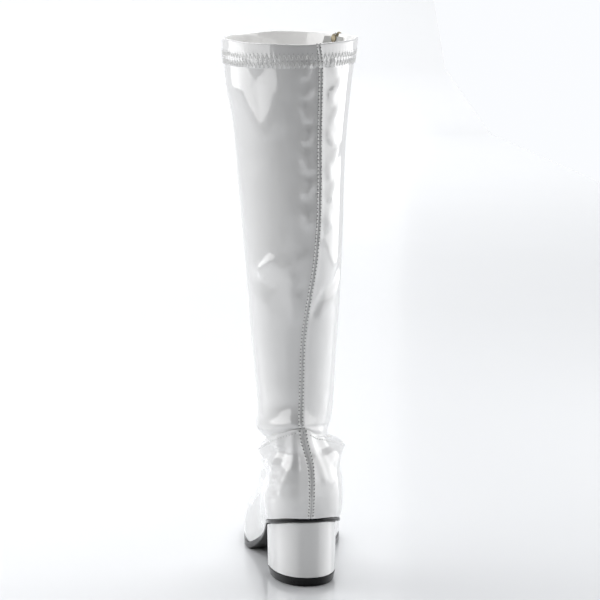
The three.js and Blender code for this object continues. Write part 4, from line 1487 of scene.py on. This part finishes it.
class BOOT_OT_stage(BootPiece, bpy.types.Operator):
    """Sets the pale floor, the soft lights and the camera"""

    bl_idname = "boot.stage"
    bl_label = "Studio"

    def execute(self, context):
        studio = context.scene.boot_studio
        self.floor(studio)
        self.lights()
        self.camera(context, studio)
        return {"FINISHED"}

    def floor(self, studio):
        piece = added(bpy.ops.mesh.primitive_plane_add, size=2)
        in_edit(
            piece,
            lambda: bpy.ops.transform.resize(value=(0.96, 2.5, 1)),
            lambda: bpy.ops.transform.translate(value=(0, -1.4, 0)))
        piece.name = "studio_floor"
        piece.data.materials.append(floor_finish(studio.floor))
        only(piece)
        bpy.ops.object.mode_set(mode="EDIT")
        bpy.ops.mesh.select_mode(type="VERT")
        bpy.ops.mesh.select_all(action="DESELECT")
        bpy.ops.object.mode_set(mode="OBJECT")
        far_edge = -3.8
        for vertex in piece.data.vertices:
            vertex.select = vertex.co.y < far_edge
        for edge in piece.data.edges:
            edge.select = all(piece.data.vertices[k].select for k in edge.vertices)
        bpy.ops.object.mode_set(mode="EDIT")
        for step in ((0, -0.5, 0.1), (0, -0.4, 0.4), (0, -0.1, 0.5), (0, 0, 2.0)):
            bpy.ops.mesh.extrude_region_move(TRANSFORM_OT_translate={"value": step})
        bpy.ops.object.mode_set(mode="OBJECT")
        only(piece)
        bpy.ops.object.shade_smooth()

    @staticmethod
    def area(name, place, aim, width, height, power):
        lamp = added(bpy.ops.object.light_add, type="AREA", location=place)
        lamp.name = name
        lamp.data.shape = "RECTANGLE"
        lamp.data.size = width
        lamp.data.size_y = height
        lamp.data.energy = power * width * height * math.pi
        lamp.visible_camera = False
        way = Vector(aim) - Vector(place)
        lamp.rotation_euler = way.to_track_quat("-Z", "Y").to_euler()

    def lights(self):
        """Each power is the panel's own brightness, where 1 is as bright as a white card in full light."""
        self.world()
        self.area("softbox_left", (1.0, -0.12, 0.49), (0.0, -0.12, 0.49), 1.84, 0.62, 2.1)
        self.area("softbox_right", (-1.0, 0.05, 0.28), (0.0, 0.05, 0.28), 1.6, 0.54, 2.4)
        self.area("overhead_light", (0, -0.8, 1.9), (0, -0.95, 0), 3.0, 1.5, 2.2)
        self.area("sweep_light", (0, -3.2, 2.4), (0, -4.3, 0.9), 4.5, 1.6, 4.4)
        view = bpy.context.scene.view_settings
        view.view_transform = "Standard"
        view.exposure = 0.0

    def world(self):
        """A pale room that darkens behind the camera, and plain white where the camera sees it."""
        world = bpy.data.worlds.new("studio room")
        bpy.context.scene.world = world
        made = Nodes(world)
        way = made.node("ShaderNodeTexCoord", output="Generated")
        turn = bpy.context.scene.boot_studio.azimuth
        lit = made.node(
            "ShaderNodeVectorMath", {"operation": "DOT_PRODUCT"},
            {0: way, 1: (-math.sin(turn), math.cos(turn), 0.1)}, "Value")
        level = made.node(
            "ShaderNodeMapRange", {"interpolation_type": "SMOOTHSTEP"},
            {"Value": lit, "From Min": -0.35, "From Max": 0.85, "To Min": 0.05, "To Max": 0.8}, "Result")
        seen = made.node("ShaderNodeLightPath", output="Is Camera Ray")
        strength = level * (1 - seen) + seen
        out = made.tree.nodes.new("ShaderNodeOutputWorld")
        back = made.node(
            "ShaderNodeBackground", {}, {"Color": (0.96, 0.975, 1.0, 1), "Strength": strength}, "Background")
        made.tree.links.new(back.socket, out.inputs["Surface"])

    def camera(self, context, studio):
        bpy.ops.object.camera_add()
        camera = bpy.context.object
        camera.name = "photo_camera"
        turn, rise = studio.azimuth, studio.elevation
        back = Vector((math.sin(turn) * math.cos(rise), -math.cos(turn) * math.cos(rise), math.sin(rise)))
        aim = Vector((0, 0.028, 0.232))
        camera.location = aim + back * studio.distance
        camera.rotation_euler = (-back).to_track_quat("-Z", "Y").to_euler()
        camera.data.sensor_width = 36
        camera.data.lens = studio.lens
        camera.data.shift_x = -0.017
        camera.data.shift_y = 0.0083
        camera.data.clip_start = 0.1
        camera.data.clip_end = 50
        context.scene.camera = camera


class BOOT_PT_panel(bpy.types.Panel):
    """Lists the boot's pieces in the 3D view's sidebar"""

    bl_idname = "BOOT_PT_panel"
    bl_label = "Go go boot"
    bl_space_type = "VIEW_3D"
    bl_region_type = "UI"
    bl_category = "Boot"

    def draw(self, context):
        for operator in OPERATORS:
            self.layout.operator(operator.bl_idname)
        for name, group in GROUPS.items():
            box = self.layout.box()
            values = getattr(context.scene, name)
            for field in group.__annotations__:
                box.prop(values, field)


OPERATORS = (
    BOOT_OT_finishes, BOOT_OT_shaft, BOOT_OT_foot, BOOT_OT_sole,
    BOOT_OT_zip, BOOT_OT_stitching, BOOT_OT_stage,
)
GROUPS = {
    "boot_last": LastSizes,
    "boot_shaft": ShaftSizes,
    "boot_sole": SoleSizes,
    "boot_zip": ZipSizes,
    "boot_stitch": StitchSizes,
    "boot_looks": Finishes,
    "boot_studio": Studio,
}


def register():
    for group in GROUPS.values():
        bpy.utils.register_class(group)
    for name, group in GROUPS.items():
        setattr(bpy.types.Scene, name, bpy.props.PointerProperty(type=group))
    for kind in (*OPERATORS, BOOT_PT_panel):
        bpy.utils.register_class(kind)


def unregister():
    for kind in (BOOT_PT_panel, *reversed(OPERATORS)):
        bpy.utils.unregister_class(kind)
    for name in GROUPS:
        delattr(bpy.types.Scene, name)
    for group in reversed(GROUPS.values()):
        bpy.utils.unregister_class(group)


def main():
    register()
    bpy.ops.boot.finishes()
    bpy.ops.boot.shaft()
    bpy.ops.boot.foot()
    bpy.ops.boot.sole()
    bpy.ops.boot.zip()
    bpy.ops.boot.stitching()
    bpy.ops.boot.stage()
    bpy.context.view_layer.update()


if __name__ == "__main__":
    main()
